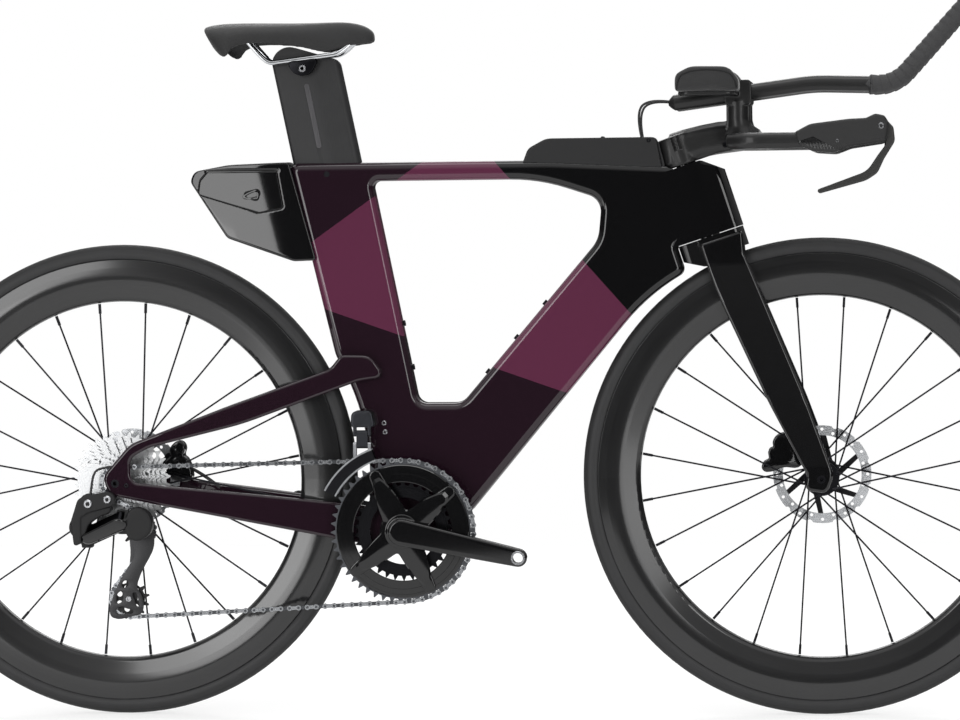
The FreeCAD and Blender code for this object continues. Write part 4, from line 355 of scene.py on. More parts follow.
paint = Finish("frame_paint", Roughness=0.34, Specular_IOR_Level=0.0, Coat_Weight=1.0, Coat_Roughness=0.02)
x, _, z = paint.axes()
upper = left_of(x, z, (-0.222, 0.6794), (-0.0708, 0.7861))
lower = left_of(x, z, (-0.1927, 0.5791), (0.1415, 0.4609))
forward = left_of(x, z, (0.0428, 0.7895), (0.2339, 0.5726))
flake = paint.noise(5200.0, 0.0).between(0.42, 0.72)
aubergine = paint.tones(flake, "1d1018", "22141d")
plum = paint.tones(flake, "53273c", "5b2b42")
black = paint.tones(flake, "0a0a0b", "0f0f10")
field = (1 - upper) * lower * (1 - forward)
paint.feed(Base_Color=paint.blend(forward, paint.blend(field, aubergine, plum), black))
paint.bump(paint.noise(130.0, 1.0), 0.00003, 0.25)
dress(paint, "frame")


# Frame hardware. Bearings and cups are ground steel, the bottle and seat screws black steel,
# and the hanger and axles black anodised alloy with a turned face.
def metal(name, dark, light, rough, grain, streak=(1, 1, 1)):
    """Metal with fine grain, drawn out along the way that it was worked."""
    finish = Finish(name, Metallic=1.0)
    grains = finish.drawn_out(streak, grain, 3.0)
    finish.worked(grains, dark, light, rough=(rough - 0.08, 0.16), relief=(0.00002, 0.5), spread=(0.3, 0.7))
    return finish


def sewn(threshold, fill=False, outward=False):
    """Merge the doubled points of the piece at work, fill its holes and turn its faces outwards."""
    bpy.ops.object.mode_set(mode="EDIT")
    bpy.ops.mesh.select_all(action="SELECT")
    bpy.ops.mesh.remove_doubles(threshold=threshold)
    if fill:
        bpy.ops.mesh.fill_holes(sides=0)
    if outward:
        bpy.ops.mesh.normals_make_consistent(inside=False)
    bpy.ops.object.mode_set(mode="OBJECT")


def lofted(name, rings, crease=None):
    """Closed skin through rings of points: a grid is rolled up, a row to a ring, and its ends are filled."""
    bpy.ops.object.select_all(action="DESELECT")
    bpy.ops.mesh.primitive_grid_add(x_subdivisions=len(rings[0]), y_subdivisions=len(rings) - 1)
    piece = bpy.context.object
    piece.name = name
    spots = [spot for ring in rings for spot in [*ring, ring[0]]]
    for vertex, spot in zip(piece.data.vertices, spots):
        vertex.co = spot
    sewn(0.000001, fill=True, outward=True)
    if crease:
        bpy.ops.object.shade_smooth_by_angle(angle=radians(crease))
    return piece


def whole_turn(count):
    """Even steps of one whole turn."""
    return [2 * pi * i / count for i in range(count)]


def hoop(centre, radius, y, count):
    """Points round an axle at one place along it; the radius is a number or changes with the turn."""
    ring = []
    for turn in whole_turn(count):
        reach = radius(turn) if callable(radius) else radius
        ring.append((centre[0] + reach * cos(turn), y, centre[1] + reach * sin(turn)))
    return ring


def gathered(name, pieces):
    """Several pieces made one."""
    bpy.ops.object.select_all(action="DESELECT")
    for piece in pieces:
        piece.select_set(True)
    bpy.context.view_layer.objects.active = pieces[0]
    if len(pieces) > 1:
        bpy.ops.object.join()
    pieces[0].name = name
    return pieces[0]


SCREW_POINTS = 24
SCREW_HEAD = [(1, 0), (1, 0.35), (0.86, 0.5)]
SOCKET_SHARE = 0.46
SOCKET_ENDS = (0.5, -0.3)


def screws(name, spots, finish, body):
    """Socket-head screws let in from either side, each at x, y of its seat, z and radius."""
    heads = []
    for x, y, z, radius in spots:
        out = copysign(radius, y)
        rings = [hoop((x, z), radius * share, y + out * rise, SCREW_POINTS) for share, rise in SCREW_HEAD]
        for rise in SOCKET_ENDS:
            rings.append(hoop((x, z), lambda turn: radius * SOCKET_SHARE / cos(turn % (pi / 3) - pi / 6),
                              y + out * rise, SCREW_POINTS))
        heads.append(lofted(name, rings, 25))
    fitted(gathered(name, heads), finish, body, "steel_bright")


ground_steel = metal("ground_steel", "8d8e91", "b4b5b8", 0.26, 700.0)
black_steel = metal("black_steel", "1a1a1c", "2a2a2d", 0.38, 1400.0)
black_alloy = metal("black_alloy", "161618", "232326", 0.34, 1800.0)
dress(ground_steel, "frame_bearings")
dress(black_steel, "frame_screws")
dress(black_alloy, "derailleur_hanger", "rear_thru_axle", "front_thru_axle")
screws("derailleur_mount_screws", [(-0.1213, -0.0196, 0.4197, 0.0036), (-0.12, -0.0196, 0.4068, 0.0036)],
       ground_steel, "frame")
screws("dropout_screw", [(-0.485, -0.0794, 0.3363, 0.0034)], black_steel, "frame")


# Seatpost. A long aero blade of matte carbon that slides in the frame; its laid-up fibres
# run up the blade and show as a faint grey grain.
def laid_carbon(name, dark, light, rough, stretch, coat=0.0):
    """Carbon whose fibres run one way, matte or under a thin coat."""
    finish = Finish(name, Specular_IOR_Level=0.35, Coat_Weight=coat, Coat_Roughness=0.12)
    fibre = finish.drawn_out(stretch, 160.0, 4.0)
    tone = (fibre * 0.7 + finish.noise(22.0) * 0.3).between(0.32, 0.68)
    finish.feed(Base_Color=finish.tones(tone, dark, light), Roughness=rough + (fibre - 0.5) * 0.14)
    finish.bump(fibre, 0.00004, 0.4)
    return finish


post_carbon = laid_carbon("post_carbon", "1d1d1e", "272728", 0.5, (9, 9, 0.5))
dress(post_carbon, "seatpost")


def cut_plate(name, outlines, y, thick, edge):
    """Flat piece of outlines drawn in side view, with a hole where one lies in another, and round edges."""
    shape = bpy.data.curves.new(name, "CURVE")
    shape.dimensions = "2D"
    shape.fill_mode = "BOTH"
    shape.extrude = thick / 2 - edge
    shape.bevel_depth = edge
    shape.bevel_resolution = 2
    for outline in outlines:
        line = shape.splines.new("BEZIER")
        line.bezier_points.add(len(outline) - 1)
        line.use_cyclic_u = True
        line.resolution_u = 5
        for knot, (x, z) in zip(line.bezier_points, outline):
            knot.co = (x, z, 0)
            knot.handle_left_type = "AUTO"
            knot.handle_right_type = "AUTO"
    piece = meshed(placed(name, shape))
    for vertex in piece.data.vertices:
        vertex.co = (vertex.co.x, y - vertex.co.z, vertex.co.y)
    sewn(0.00001, outward=True)
    bpy.ops.object.shade_smooth_by_angle(angle=radians(35))
    return piece


CRADLE = [(-0.249, 0.9345), (-0.2455, 0.924), (-0.238, 0.919), (-0.23, 0.918), (-0.221, 0.9215),
          (-0.2145, 0.931), (-0.2125, 0.9375), (-0.2308, 0.9362)]
CRADLE_WIDE = 0.051
cradle = cut_plate("saddle_cradle", [CRADLE], 0, CRADLE_WIDE, 0.0012)
fitted(cradle, black_alloy, "seatpost", "alloy_black", "saddle_clamp")
screws("saddle_clamp_screw", [(-0.2312, -0.0255, 0.9268, 0.0052)], ground_steel, "seatpost")


def oblong(ends, run, across, count):
    """Outline round two ends, each a middle and a radius, with straight sides between them."""
    edge = []
    for half, (middle, radius) in enumerate(ends):
        for i in range(count):
            turn = pi * (half + i / (count - 1))
            edge.append(middle + across * (radius * cos(turn)) - run * (radius * sin(turn)))
    return edge


RIB_TOP = Vector((-0.227, 0.902))
RIB_FOOT = Vector((-0.2105, 0.817))
RIB_HALF = 0.0036
RIB_SECTION = [(0.0122, RIB_HALF), (0.013, RIB_HALF), (0.0134, RIB_HALF * 0.6)]
rib_run = (RIB_FOOT - RIB_TOP).normalized()
rib_across = Vector((-rib_run.y, rib_run.x))
ribs = []
for way in (-1, 1):
    rings = []
    for y, half in RIB_SECTION:
        edge = oblong([(RIB_TOP, half), (RIB_FOOT, half)], rib_run, rib_across, 12)
        rings.append([(spot.x, y * way, spot.y) for spot in edge])
    ribs.append(lofted("post_ribs", rings))
# The ribs get a much lighter grey than the blade. That grey is a painted highlight, standing in for the light
# caught along the groove down each side of the post.
rib_painted_highlight = laid_carbon("post_rib_painted_highlight", "38373a", "4a494b", 0.4, (9, 9, 0.5), 0.2)
fitted(gathered("post_ribs", ribs), rib_painted_highlight, "seatpost", "carbon_satin")


# Saddle. A foam pad over a hard base, with a thin grained cover drawn down round its edge;
# the two chromed rails run under it into the clamp.
def copied(name, *nodes):
    """Mesh of one or more CAD pieces as a new piece, with its triangles sewn together."""
    piece = gathered(name, [placed(name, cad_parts[node].data.copy()) for node in nodes])
    sewn(0.00002)
    return piece


def eased(piece, voxel, rounds):
    """Run a piece into one even skin and rub its corners round, as a moulding's are."""
    picked(piece)
    piece.data.remesh_voxel_size = voxel
    bpy.ops.object.voxel_remesh()
    rub = piece.modifiers.new("rub", "SMOOTH")
    rub.factor = 0.5
    rub.iterations = rounds
    bpy.ops.object.modifier_apply(modifier=rub.name)
    bpy.ops.object.shade_smooth()
    return piece


def refined(piece):
    """Divide every face of a piece once and round it."""
    finer = piece.modifiers.new("finer", "SUBSURF")
    finer.levels = 1
    finer.render_levels = 1
    bpy.ops.object.modifier_apply(modifier=finer.name)
    return piece


SWELL_STEPS = 14
COVER_MASS = 0.2
COVER_STIFFNESS = 25


def puffed(piece, swell, cap):
    """Swell a soft piece a little from within, then refine it."""
    picked(piece)
    rest = [vertex.co.copy() for vertex in piece.data.vertices]
    cloth = piece.modifiers.new("swell", "CLOTH")
    cloth.settings.use_pressure = True
    cloth.settings.uniform_pressure_force = swell
    cloth.settings.effector_weights.gravity = 0
    cloth.settings.mass = COVER_MASS
    cloth.settings.tension_stiffness = COVER_STIFFNESS
    cloth.settings.compression_stiffness = COVER_STIFFNESS
    for step in range(1, SWELL_STEPS + 1):
        bpy.context.scene.frame_set(step)
    bpy.ops.object.modifier_apply(modifier=cloth.name)
    bpy.context.scene.frame_set(1)
    for vertex, start in zip(piece.data.vertices, rest):
        moved = vertex.co - start
        if moved.length > cap:
            vertex.co = start + moved * (cap / moved.length)
    return refined(piece)


SADDLE_STATIONS = [
    (-0.3755, 0.04, 0.985, 0.964), (-0.3725, 0.054, 0.988, 0.945), (-0.366, 0.062, 0.9905, 0.9415),
    (-0.35, 0.0655, 0.9925, 0.944), (-0.336, 0.065, 0.993, 0.956), (-0.308, 0.06, 0.993, 0.963),
    (-0.272, 0.046, 0.992, 0.962), (-0.24, 0.034, 0.9915, 0.959), (-0.215, 0.0285, 0.992, 0.9515),
    (-0.2, 0.0265, 0.9925, 0.9485), (-0.185, 0.0245, 0.993, 0.9515), (-0.165, 0.022, 0.9925, 0.958),
    (-0.145, 0.0185, 0.988, 0.96), (-0.134, 0.0135, 0.981, 0.9615), (-0.1295, 0.007, 0.975, 0.964),
]
SKIRT_WALL = 0.0055
CROWN_WALL = 0.013
TAIL_LEAN = 0.62
TAIL_END = -0.32
ROUND_OFF = 0.7


def saddle_ring(x, half, crown, edge):
    """Arched section of the saddle: over the crown, round the skirt's edge and back inside the hollow."""
    lean = TAIL_LEAN * max(0.0, min(1.0, (TAIL_END - x) / 0.05))
    wall = min(SKIRT_WALL, half * 0.4)
    roof = min(CROWN_WALL, (crown - edge) * 0.6)
    ring = []
    for inside in (False, True):
        width = half - wall if inside else half
        rise = crown - edge - roof if inside else crown - edge
        for i in range(15):
            turn = pi * (i / 14 - 0.5) * (-1 if inside else 1)
            y = width * copysign(abs(sin(turn)) ** ROUND_OFF, turn)
            z = edge + rise * abs(cos(turn)) ** ROUND_OFF
            ring.append((x + lean * (crown - z), y, z))
    return ring


cover = Finish("saddle_cover", Roughness=0.62, Sheen_Weight=0.15, Sheen_Roughness=0.5)
pores = cover.cells(950.0)
soft_tone = cover.noise(35.0, 3.0).between(0.3, 0.7)
cover.feed(Base_Color=cover.tones(soft_tone, "0d0d0e", "161617"), Roughness=0.52 + pores * 0.25)
cover.bump(pores, 0.00012, 0.5)
saddle = refined(lofted("saddle_pad", [saddle_ring(*station) for station in SADDLE_STATIONS]))
puffed(eased(saddle, 0.0022, 3), 1.0, 0.0008)
fitted(saddle, cover, "saddle", "saddle_cover", "saddle")


def bars(name, routes, radius):
    """Round bars on smooth lines, made one piece."""
    pieces = []
    for route in routes:
        pieces.append(meshed(smooth_line(name, route, radius)))
        bpy.ops.object.shade_smooth()
    return gathered(name, pieces)


RAIL_RADIUS = 0.0035
RAIL_ROUTE = [
    (-0.32, 0.025, 0.979), (-0.306, 0.024, 0.962), (-0.29, 0.023, 0.944), (-0.28, 0.022, 0.9355),
    (-0.268, 0.022, 0.9365), (-0.2308, 0.022, 0.9409), (-0.193, 0.022, 0.9452), (-0.182, 0.0215, 0.947),
    (-0.172, 0.019, 0.953), (-0.16, 0.015, 0.964), (-0.154, 0.013, 0.972),
]
rail_chrome = metal("rail_chrome", "b9bbbe", "d6d8da", 0.1, 300.0, (0.2, 3, 3))
rails = bars("saddle_rail_bars", [on_side(RAIL_ROUTE, way) for way in (-1, 1)], RAIL_RADIUS)
fitted(rails, rail_chrome, "saddle", "chrome_rail", "saddle_rails")


# Fork, storage box and its door. Moulded carbon in plain gloss black, with a polished clear
# coat whose faint ripple only shows where a light runs along an edge.
gloss_black = Finish("gloss_black", Roughness=0.3, Specular_IOR_Level=0.0, Coat_Weight=1.0,
                     Coat_Roughness=0.05)
gloss_black.feed(Base_Color=gloss_black.tones(gloss_black.noise(60.0, 4.0), "0a0a0b", "0f0f10"))
gloss_black.bump(gloss_black.noise(120.0, 1.0), 0.00004, 0.25)
dress(gloss_black, "fork")
BOX_HALF = 0.026
BOX_TOP = 0.785
TAPER_FROM = -0.246
TAPER_LEAN = 0.3
TAPER_CURVE = 0.95


def drawn_in(piece):
    """Draw the storage box's sides in towards its tail, on one even curve."""
    for vertex in piece.data.vertices:
        edge = TAPER_FROM + TAPER_LEAN * (BOX_TOP - vertex.co.z)
        inset = TAPER_CURVE / 2 * max(0.0, edge - vertex.co.x) ** 2
        vertex.co.y *= 1 - inset / BOX_HALF
    return piece


storage_shell = drawn_in(eased(copied("storage_shell", "storage_box"), 0.0013, 14))
fitted(storage_shell, gloss_black, "frame", "carbon_gloss", "storage_box")
storage_lid = drawn_in(eased(copied("storage_lid", "storage_door"), 0.0008, 3))
fitted(storage_lid, gloss_black, "storage_door", "carbon_gloss", "storage_door")

PULL = [(-0.3201, 0.7447), (-0.3093, 0.7415), (-0.3, 0.7396), (-0.2971, 0.7424),
        (-0.297, 0.7526), (-0.2998, 0.7546), (-0.307, 0.7527), (-0.3159, 0.7487)]
PULL_MIDDLE = Vector((-0.3058, 0.7471))
PULL_OPENING = 0.7
PULL_FACE = -0.0263
PULL_THICK = 0.0018
opening = [tuple(PULL_MIDDLE.lerp(Vector(spot), PULL_OPENING)) for spot in PULL]
pull = cut_plate("door_pull", [PULL, opening], PULL_FACE, PULL_THICK, 0.0005)
fitted(drawn_in(pull), gloss_black, "storage_door", "carbon_gloss")


# Tyres. Black clincher rubber: a close file tread over the crown, finer hatching on the
# shoulders, and a smooth side wall with the casing's threads just showing.
def axle_of(node):
    """Middle of a round CAD piece, which lies on its axle."""
    low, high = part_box(node)
    return (low + high) / 2


def about_axle(finish, node):
    """Distance from a CAD piece's axle in side view, the turn round it and the place along it."""
    axle = axle_of(node)
    x, y, z = finish.axes()
    along = x - axle.x
    above = z - axle.z
    turn = finish.node("Math", {0: above, 1: along}, operation="ARCTAN2")
    return (along * along + above * above) ** 0.5, turn, y


def wound(finish, reach, turn, fine, drawn, across=0.0, detail=2.0):
    """Noise drawn out round an axle, as lathe marks and wound fibres are."""
    at = finish.node("CombineXYZ", {"X": reach * fine, "Y": turn * drawn, "Z": across})
    return finish.noise(1.0, detail, at)


for wheel in ("front", "rear"):
    rubber = Finish(wheel + "_tyre_rubber", Roughness=0.6)
    reach, turn, y = about_axle(rubber, wheel + "_tyre")
    crown = reach.between(0.3315, 0.3325)
    hatch = (turn * 900 + abs(y) * 3200).wave() * crown
    casing = (turn * 1500 + reach * 2600).wave() * (1 - crown)
    dust = rubber.noise(55.0, 4.0)
    grey = dust.between(0.3, 0.75)
    rubber.parted(crown, grey, under=("111112", "1a1a1c"), over=("111112", "1a1a1b"))
    rubber.feed(Roughness=0.5 + crown * 0.16 + dust * 0.1)
    rubber.bump(hatch * 0.6 + casing * 0.2 + dust * 0.3, 0.00012, 0.8)
    dress(rubber, wheel + "_tyre")


# Rims. Deep carbon hoops in bare satin lay-up: the fibre runs round the hoop in overlapping
# pieces, a shade lighter and darker where each piece starts.
for wheel in ("front", "rear"):
    rim_carbon = Finish(wheel + "_rim_carbon", Specular_IOR_Level=0.15, Coat_Weight=1.0, Coat_Roughness=0.1)
    reach, turn, y = about_axle(rim_carbon, wheel + "_rim")
    fibre = wound(rim_carbon, reach, turn, 900, 5, y * 500, 4.0)
    patches = wound(rim_carbon, reach, turn, 24, 3)
    tone = (fibre * 0.45 + patches * 0.55).between(0.3, 0.7)
    rim_carbon.feed(Base_Color=rim_carbon.tones(tone, "0c0c0d", "161617"))
    rim_carbon.feed(Roughness=0.36 + (fibre - 0.5) * 0.16)
    rim_carbon.bump(fibre, 0.00002, 0.3)
    dress(rim_carbon, wheel + "_rim")


# Spokes, hubs and rotors. Black bladed steel spokes cross between the flanges of black alloy
# hubs, and each drilled steel brake rotor is locked on the hub's left end.
dress(black_steel, "front_spokes", "rear_spokes")
dress(black_alloy, "front_hub", "rear_hub")
for wheel in ("front", "rear"):
    disc_steel = Finish(wheel + "_rotor_steel", Metallic=1.0)
    reach, turn, _ = about_axle(disc_steel, wheel + "_rotor")
    rings = wound(disc_steel, reach, turn, 4200, 3)
    track = reach.between(0.0555, 0.0565)
    disc_steel.parted(track, rings, under=("1a1a1b", "2a2a2b"), over=("b2b4b7", "d2d4d6"))
    disc_steel.feed(Roughness=0.34 - track * 0.08 + (rings - 0.5) * 0.12)
    disc_steel.bump(rings, 0.00002, 0.6)
    dress(disc_steel, wheel + "_rotor")


# Cranks and chainrings. Forged hollow arms in polished black, with the two toothed rings on a
# four-armed spider; the rings' machined teeth show bare grey metal.
crank_black = Finish("crank_black", Specular_IOR_Level=0.0, Coat_Weight=1.0, Coat_Roughness=0.05)
cloud = crank_black.noise(90.0, 3.0)
crank_black.feed(Base_Color=crank_black.tones(cloud, "0a0a0b", "101011"), Roughness=0.3 + cloud * 0.14)
crank_black.bump(crank_black.noise(1500.0, 1.0), 0.00001, 0.3)
for hand in ("right", "left"):
    arm = eased(copied("crank_arm_" + hand, "crank_" + hand), 0.0012, 7)
    fitted(arm, crank_black, "crank", "alloy_black", "crank_" + hand)

ring_metal = Finish("ring_metal", Metallic=0.9)
reach, turn, _ = about_axle(ring_metal, "chainrings")
lathe = wound(ring_metal, reach, turn, 3600, 4)
bare = reach.between(0.0945, 0.0955)
ring_metal.parted(bare, lathe, under=("111113", "202023"), over=("3e3f42", "606266"))
ring_metal.feed(Roughness=0.28 + bare * 0.08 + (lathe - 0.5) * 0.14)
ring_metal.bump(lathe, 0.00002, 0.6)
dress(ring_metal, "chainrings")

CRANK_LENGTH = 0.17
CRANK_TURN = radians(-12.4)
SPIDER_ARMS = [CRANK_TURN + radians(turn) for turn in (52, 128, 232, 308)]
SPIDER_HUB = 0.032
SPIDER_REACH = 0.084
SPIDER_POINTS = 144
SPIDER_SECTION = [(1.0, -0.053), (1.0, -0.0572), (0.94, -0.059), (0.8, -0.0594)]
SPIDER_BORE = 0.015
crank_axle = axle_of("chainrings")
crank_middle = (crank_axle.x, crank_axle.z)


def spider_reach(turn):
    """Edge of the spider: long pointed arms that sweep in to the hub between them."""
    away = min(abs((turn - arm + pi) % (2 * pi) - pi) for arm in SPIDER_ARMS)
    taper = max(0.0, 1 - max(0.0, away - 0.06) / 0.6)
    return SPIDER_HUB + (SPIDER_REACH - SPIDER_HUB) * taper ** 1.8


star = [hoop(crank_middle, lambda turn: spider_reach(turn) * share, y, SPIDER_POINTS)
        for share, y in SPIDER_SECTION]
star.append(hoop(crank_middle, SPIDER_BORE, SPIDER_SECTION[-1][1], SPIDER_POINTS))
fitted(lofted("crank_spider", star, 12), crank_black, "crank", "alloy_black")

RING_FACE = [
    (0.0705, -0.05), (0.0705, -0.0528), (0.0715, -0.0534), (0.082, -0.0534), (0.0825, -0.0526),
    (0.09, -0.0526), (0.0904, -0.0518), (0.0938, -0.0518), (0.095, -0.0506), (0.095, -0.0485),
    (0.0705, -0.0485), (0.0705, -0.05),
]
face = lofted("chainring_face", [hoop(crank_middle, radius, y, 160) for radius, y in RING_FACE], 20)
fitted(face, crank_black, "crank", "alloy_black")

PEDAL_EYE = (crank_axle.x + CRANK_LENGTH * cos(CRANK_TURN),
             crank_axle.z + CRANK_LENGTH * sin(CRANK_TURN))
EYE_INSERT = [(0.0073, -0.0736), (0.0094, -0.0736), (0.0098, -0.0732), (0.0098, -0.0722), (0.0073, -0.0722)]
insert = [hoop(PEDAL_EYE, radius, y, 40) for radius, y in EYE_INSERT + EYE_INSERT[:1]]
fitted(lofted("pedal_eye_insert", insert, 35), ground_steel, "crank", "steel_bright")


# Cassette and chain. Twelve bright steel cogs turned and punched in one stack, and a roller
# chain of plain steel plates with a thin film of oil.
cog_steel = Finish("cog_steel", Metallic=1.0)
reach, turn, y = about_axle(cog_steel, "cassette")
lathe = wound(cog_steel, reach, turn, 5200, 4, y * 200)
cog_steel.worked(lathe, "a9aaab", "d3d4d5", rough=(0.21, 0.18), relief=(0.00002, 0.6))
dress(cog_steel, "cassette")

LINK_PITCH = 0.0127
PLATE_ROUND = 0.0039
PLATE_THICK = 0.0007
INNER_GAP = 0.0011
ROLLER = 0.0038
PIN = 0.0018
PIN_HALF = 0.003
WAIST_TURN = radians(140)


def link_plate(y, thick):
    """Waisted side plate between two pins on X, from y on."""
    edge = []
    for end in (1, -1):
        for i in range(7):
            turn = WAIST_TURN * (i / 3 - 1)
            along = LINK_PITCH / 2 + PLATE_ROUND * cos(turn)
            edge.append((end * along, end * PLATE_ROUND * sin(turn)))
    return lofted("chain_plate", [[(x, place, z) for x, z in edge] for place in (y, y + thick)])


def stub(x, radius, half, count):
    return lofted("chain_pin", [hoop((x, 0), radius, -half, count), hoop((x, 0), radius, half, count)])


outer_steel = metal("chain_outer_plate", "85878a", "b4b6b9", 0.26, 900.0)
inner_steel = metal("chain_inner_plate", "3b3c3f", "626467", 0.34, 900.0)
ends = (-LINK_PITCH / 2, LINK_PITCH / 2)
walls = [link_plate(INNER_GAP, PLATE_THICK), link_plate(-INNER_GAP - PLATE_THICK, PLATE_THICK)]
inner_link = gathered("inner_link", walls + [stub(x, ROLLER, INNER_GAP, 10) for x in ends])
inner_link.data.materials.append(inner_steel.material)
pins = gathered("link_pins", [stub(x, PIN, PIN_HALF, 8) for x in ends])
pins.data.materials.append(inner_steel.material)
outer_plate = link_plate(-PLATE_THICK / 2, PLATE_THICK)
outer_plate.data.materials.append(outer_steel.material)
models = (inner_link, pins, outer_plate)

copied("chain_run", "chain")
bpy.ops.object.mode_set(mode="EDIT")
bpy.ops.mesh.separate(type="LOOSE")
bpy.ops.object.mode_set(mode="OBJECT")
links = []
for loose in list(bpy.context.selected_objects):
    spots = numpy.array([vertex.co for vertex in loose.data.vertices])
    axes = numpy.linalg.eigh(numpy.cov(spots.T))[1]
    reach = spots @ axes
    centre = axes @ ((reach.min(axis=0) + reach.max(axis=0)) / 2)
    turn = Matrix([axes[:, 2], axes[:, 0], axes[:, 1]]).transposed()
    if turn.determinant() < 0:
        turn.col[1].negate()
    seat = Matrix.Translation(centre) @ turn.to_4x4()
    for model in (models[:2] if numpy.ptp(reach[:, 0]) > 2 * INNER_GAP else models[2:]):
        links.append(placed("roller_chain", model.data.copy()))
        links[-1].data.transform(seat)
    bpy.data.objects.remove(loose)
for model in models:
    bpy.data.objects.remove(model)
chain = gathered("roller_chain", links)
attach(chain, "frame")
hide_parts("chain")


# Rear derailleur. A black moulded body and knuckle joined by black alloy links, a long cage of
# dark grey alloy, and two black pulleys that the chain runs over.
grey_alloy = metal("grey_alloy", "2b2c2f", "3f4044", 0.36, 1300.0)
moulded = Finish("moulded_black", Specular_IOR_Level=0.3)
moulded.worked(moulded.noise(1900.0), "09090a", "121213", rough=(0.42, 0.18), relief=(0.00005, 0.5))
dress(moulded, "guide_pulley", "tension_pulley")
dress(black_alloy, "rear_derailleur_outer_link", "rear_derailleur_inner_link")

BOSS = (-0.538, 0.311)
MOTOR_SIDE = [
    (-0.5655, 0.277), (-0.559, 0.292), (-0.552, 0.303), (-0.53, 0.305), (-0.512, 0.3085),
    (-0.508, 0.302), (-0.52, 0.295), (-0.533, 0.288), (-0.541, 0.28), (-0.546, 0.268), (-0.553, 0.264),
    (-0.561, 0.267),
]
boss = lofted("boss", [hoop(BOSS, radius, y, 48) for radius, y in
                       ((0.014, -0.07), (0.0145, -0.072), (0.0145, -0.0865), (0.013, -0.0885))])
bracket = gathered("derailleur_bracket", [copied("derailleur_bracket", "rear_derailleur_bracket"), boss,
                                          cut_plate("motor", [MOTOR_SIDE], -0.08, 0.017, 0.002)])
fitted(eased(bracket, 0.0009, 6), moulded, "frame", "alloy_black", "rear_derailleur_bracket")

KNUCKLE_SIDE = [(-0.478, 0.296), (-0.47, 0.303), (-0.458, 0.301), (-0.45, 0.293), (-0.448, 0.277),
                (-0.456, 0.266), (-0.469, 0.262), (-0.4785, 0.268)]
knuckle = gathered("derailleur_knuckle", [copied("derailleur_knuckle", "rear_derailleur_knuckle"),
                                          cut_plate("knuckle", [KNUCKLE_SIDE], -0.093, 0.02, 0.003)])
fitted(eased(knuckle, 0.0009, 7), moulded, "rear_derailleur_knuckle", "alloy_grey", "rear_derailleur_knuckle")

GUIDE = (-0.4705, 0.272)
TENSION = (-0.4859, 0.1732)
CAGE_SIDE = [
    (-0.47, 0.284), (-0.457, 0.283), (-0.449, 0.272), (-0.4478, 0.258), (-0.4495, 0.245),
    (-0.455, 0.233), (-0.463, 0.219), (-0.47, 0.204), (-0.4735, 0.19), (-0.467, 0.177), (-0.465, 0.16),
    (-0.469, 0.152), (-0.48, 0.149), (-0.508, 0.146), (-0.513, 0.152), (-0.509, 0.174), (-0.5, 0.195),
    (-0.488, 0.215), (-0.477, 0.235), (-0.478, 0.252), (-0.482, 0.265), (-0.48, 0.278),
]
CAGE_HOLES = [
    [(-0.495, 0.1905), (-0.4895, 0.2), (-0.4868, 0.191)],
    [(-0.504, 0.171), (-0.4985, 0.184), (-0.4945, 0.183), (-0.501, 0.166)],
    [(-0.505, 0.154), (-0.497, 0.1625), (-0.49, 0.16), (-0.479, 0.1545), (-0.49, 0.1515)],
    [(-0.4785, 0.183), (-0.4715, 0.17), (-0.472, 0.162), (-0.4775, 0.17)],
]
CAGE_INNER = [
    (-0.4705, 0.284), (-0.459, 0.272), (-0.463, 0.25), (-0.474, 0.215), (-0.477, 0.19), (-0.475, 0.173),
    (-0.48, 0.1625), (-0.492, 0.1625), (-0.497, 0.173), (-0.49, 0.195), (-0.484, 0.235), (-0.482, 0.272),
]
plates = [cut_plate("cage", [CAGE_SIDE] + CAGE_HOLES, -0.07, 0.0018, 0.0004),
          cut_plate("cage", [CAGE_INNER], -0.0611, 0.0014, 0.0003)]
plates += [lofted("cage", [hoop(centre, 0.004, y, 20) for y in (near, -0.0605)])
           for centre, near in ((GUIDE, -0.084), (TENSION, -0.0706))]
cage_alloy = metal("cage_alloy", "2e2e2f", "464647", 0.42, 1100.0)
cage = gathered("derailleur_cage", plates)
fitted(cage, cage_alloy, "rear_derailleur_cage", "alloy_grey", "rear_derailleur_cage")

LINK_AXIS = Vector((0, 0.7604, 0.6494))
LINK_DROP = LINK_AXIS.cross(Vector((1, 0, 0))) * 0.007
LINK_REAR = Vector((-0.5406, -0.07, 0.264)) - LINK_DROP
LINK_FRONT = Vector((-0.4925, -0.0882, 0.2853)) - LINK_DROP
REAR_ROUND = 0.01
FRONT_ROUND = 0.0122
LINK_COVER = [(0.96, 0.0124), (1.0, 0.013), (1.0, 0.0142), (0.86, 0.0158), (0.5, 0.0166)]
link_run = (LINK_FRONT - LINK_REAR).normalized()
link_side = LINK_AXIS.cross(link_run)
rings = []
for grow, lift in LINK_COVER:
    ends = [(LINK_REAR, REAR_ROUND * grow), (LINK_FRONT, FRONT_ROUND * grow)]
    rings.append([spot - LINK_AXIS * lift for spot in oblong(ends, link_run, link_side, 18)])
panel = lofted("derailleur_link_cover", rings, 50)
fitted(panel, crank_black, "rear_derailleur_outer_link", "alloy_black")
screws("derailleur_screws", [(-0.539, -0.0888, 0.311, 0.0062), (-0.511, -0.0888, 0.317, 0.0056)],
       ground_steel, "frame")
screws("pulley_screw", [(-0.4859, -0.0712, 0.1732, 0.0042)], ground_steel, "rear_derailleur_cage")


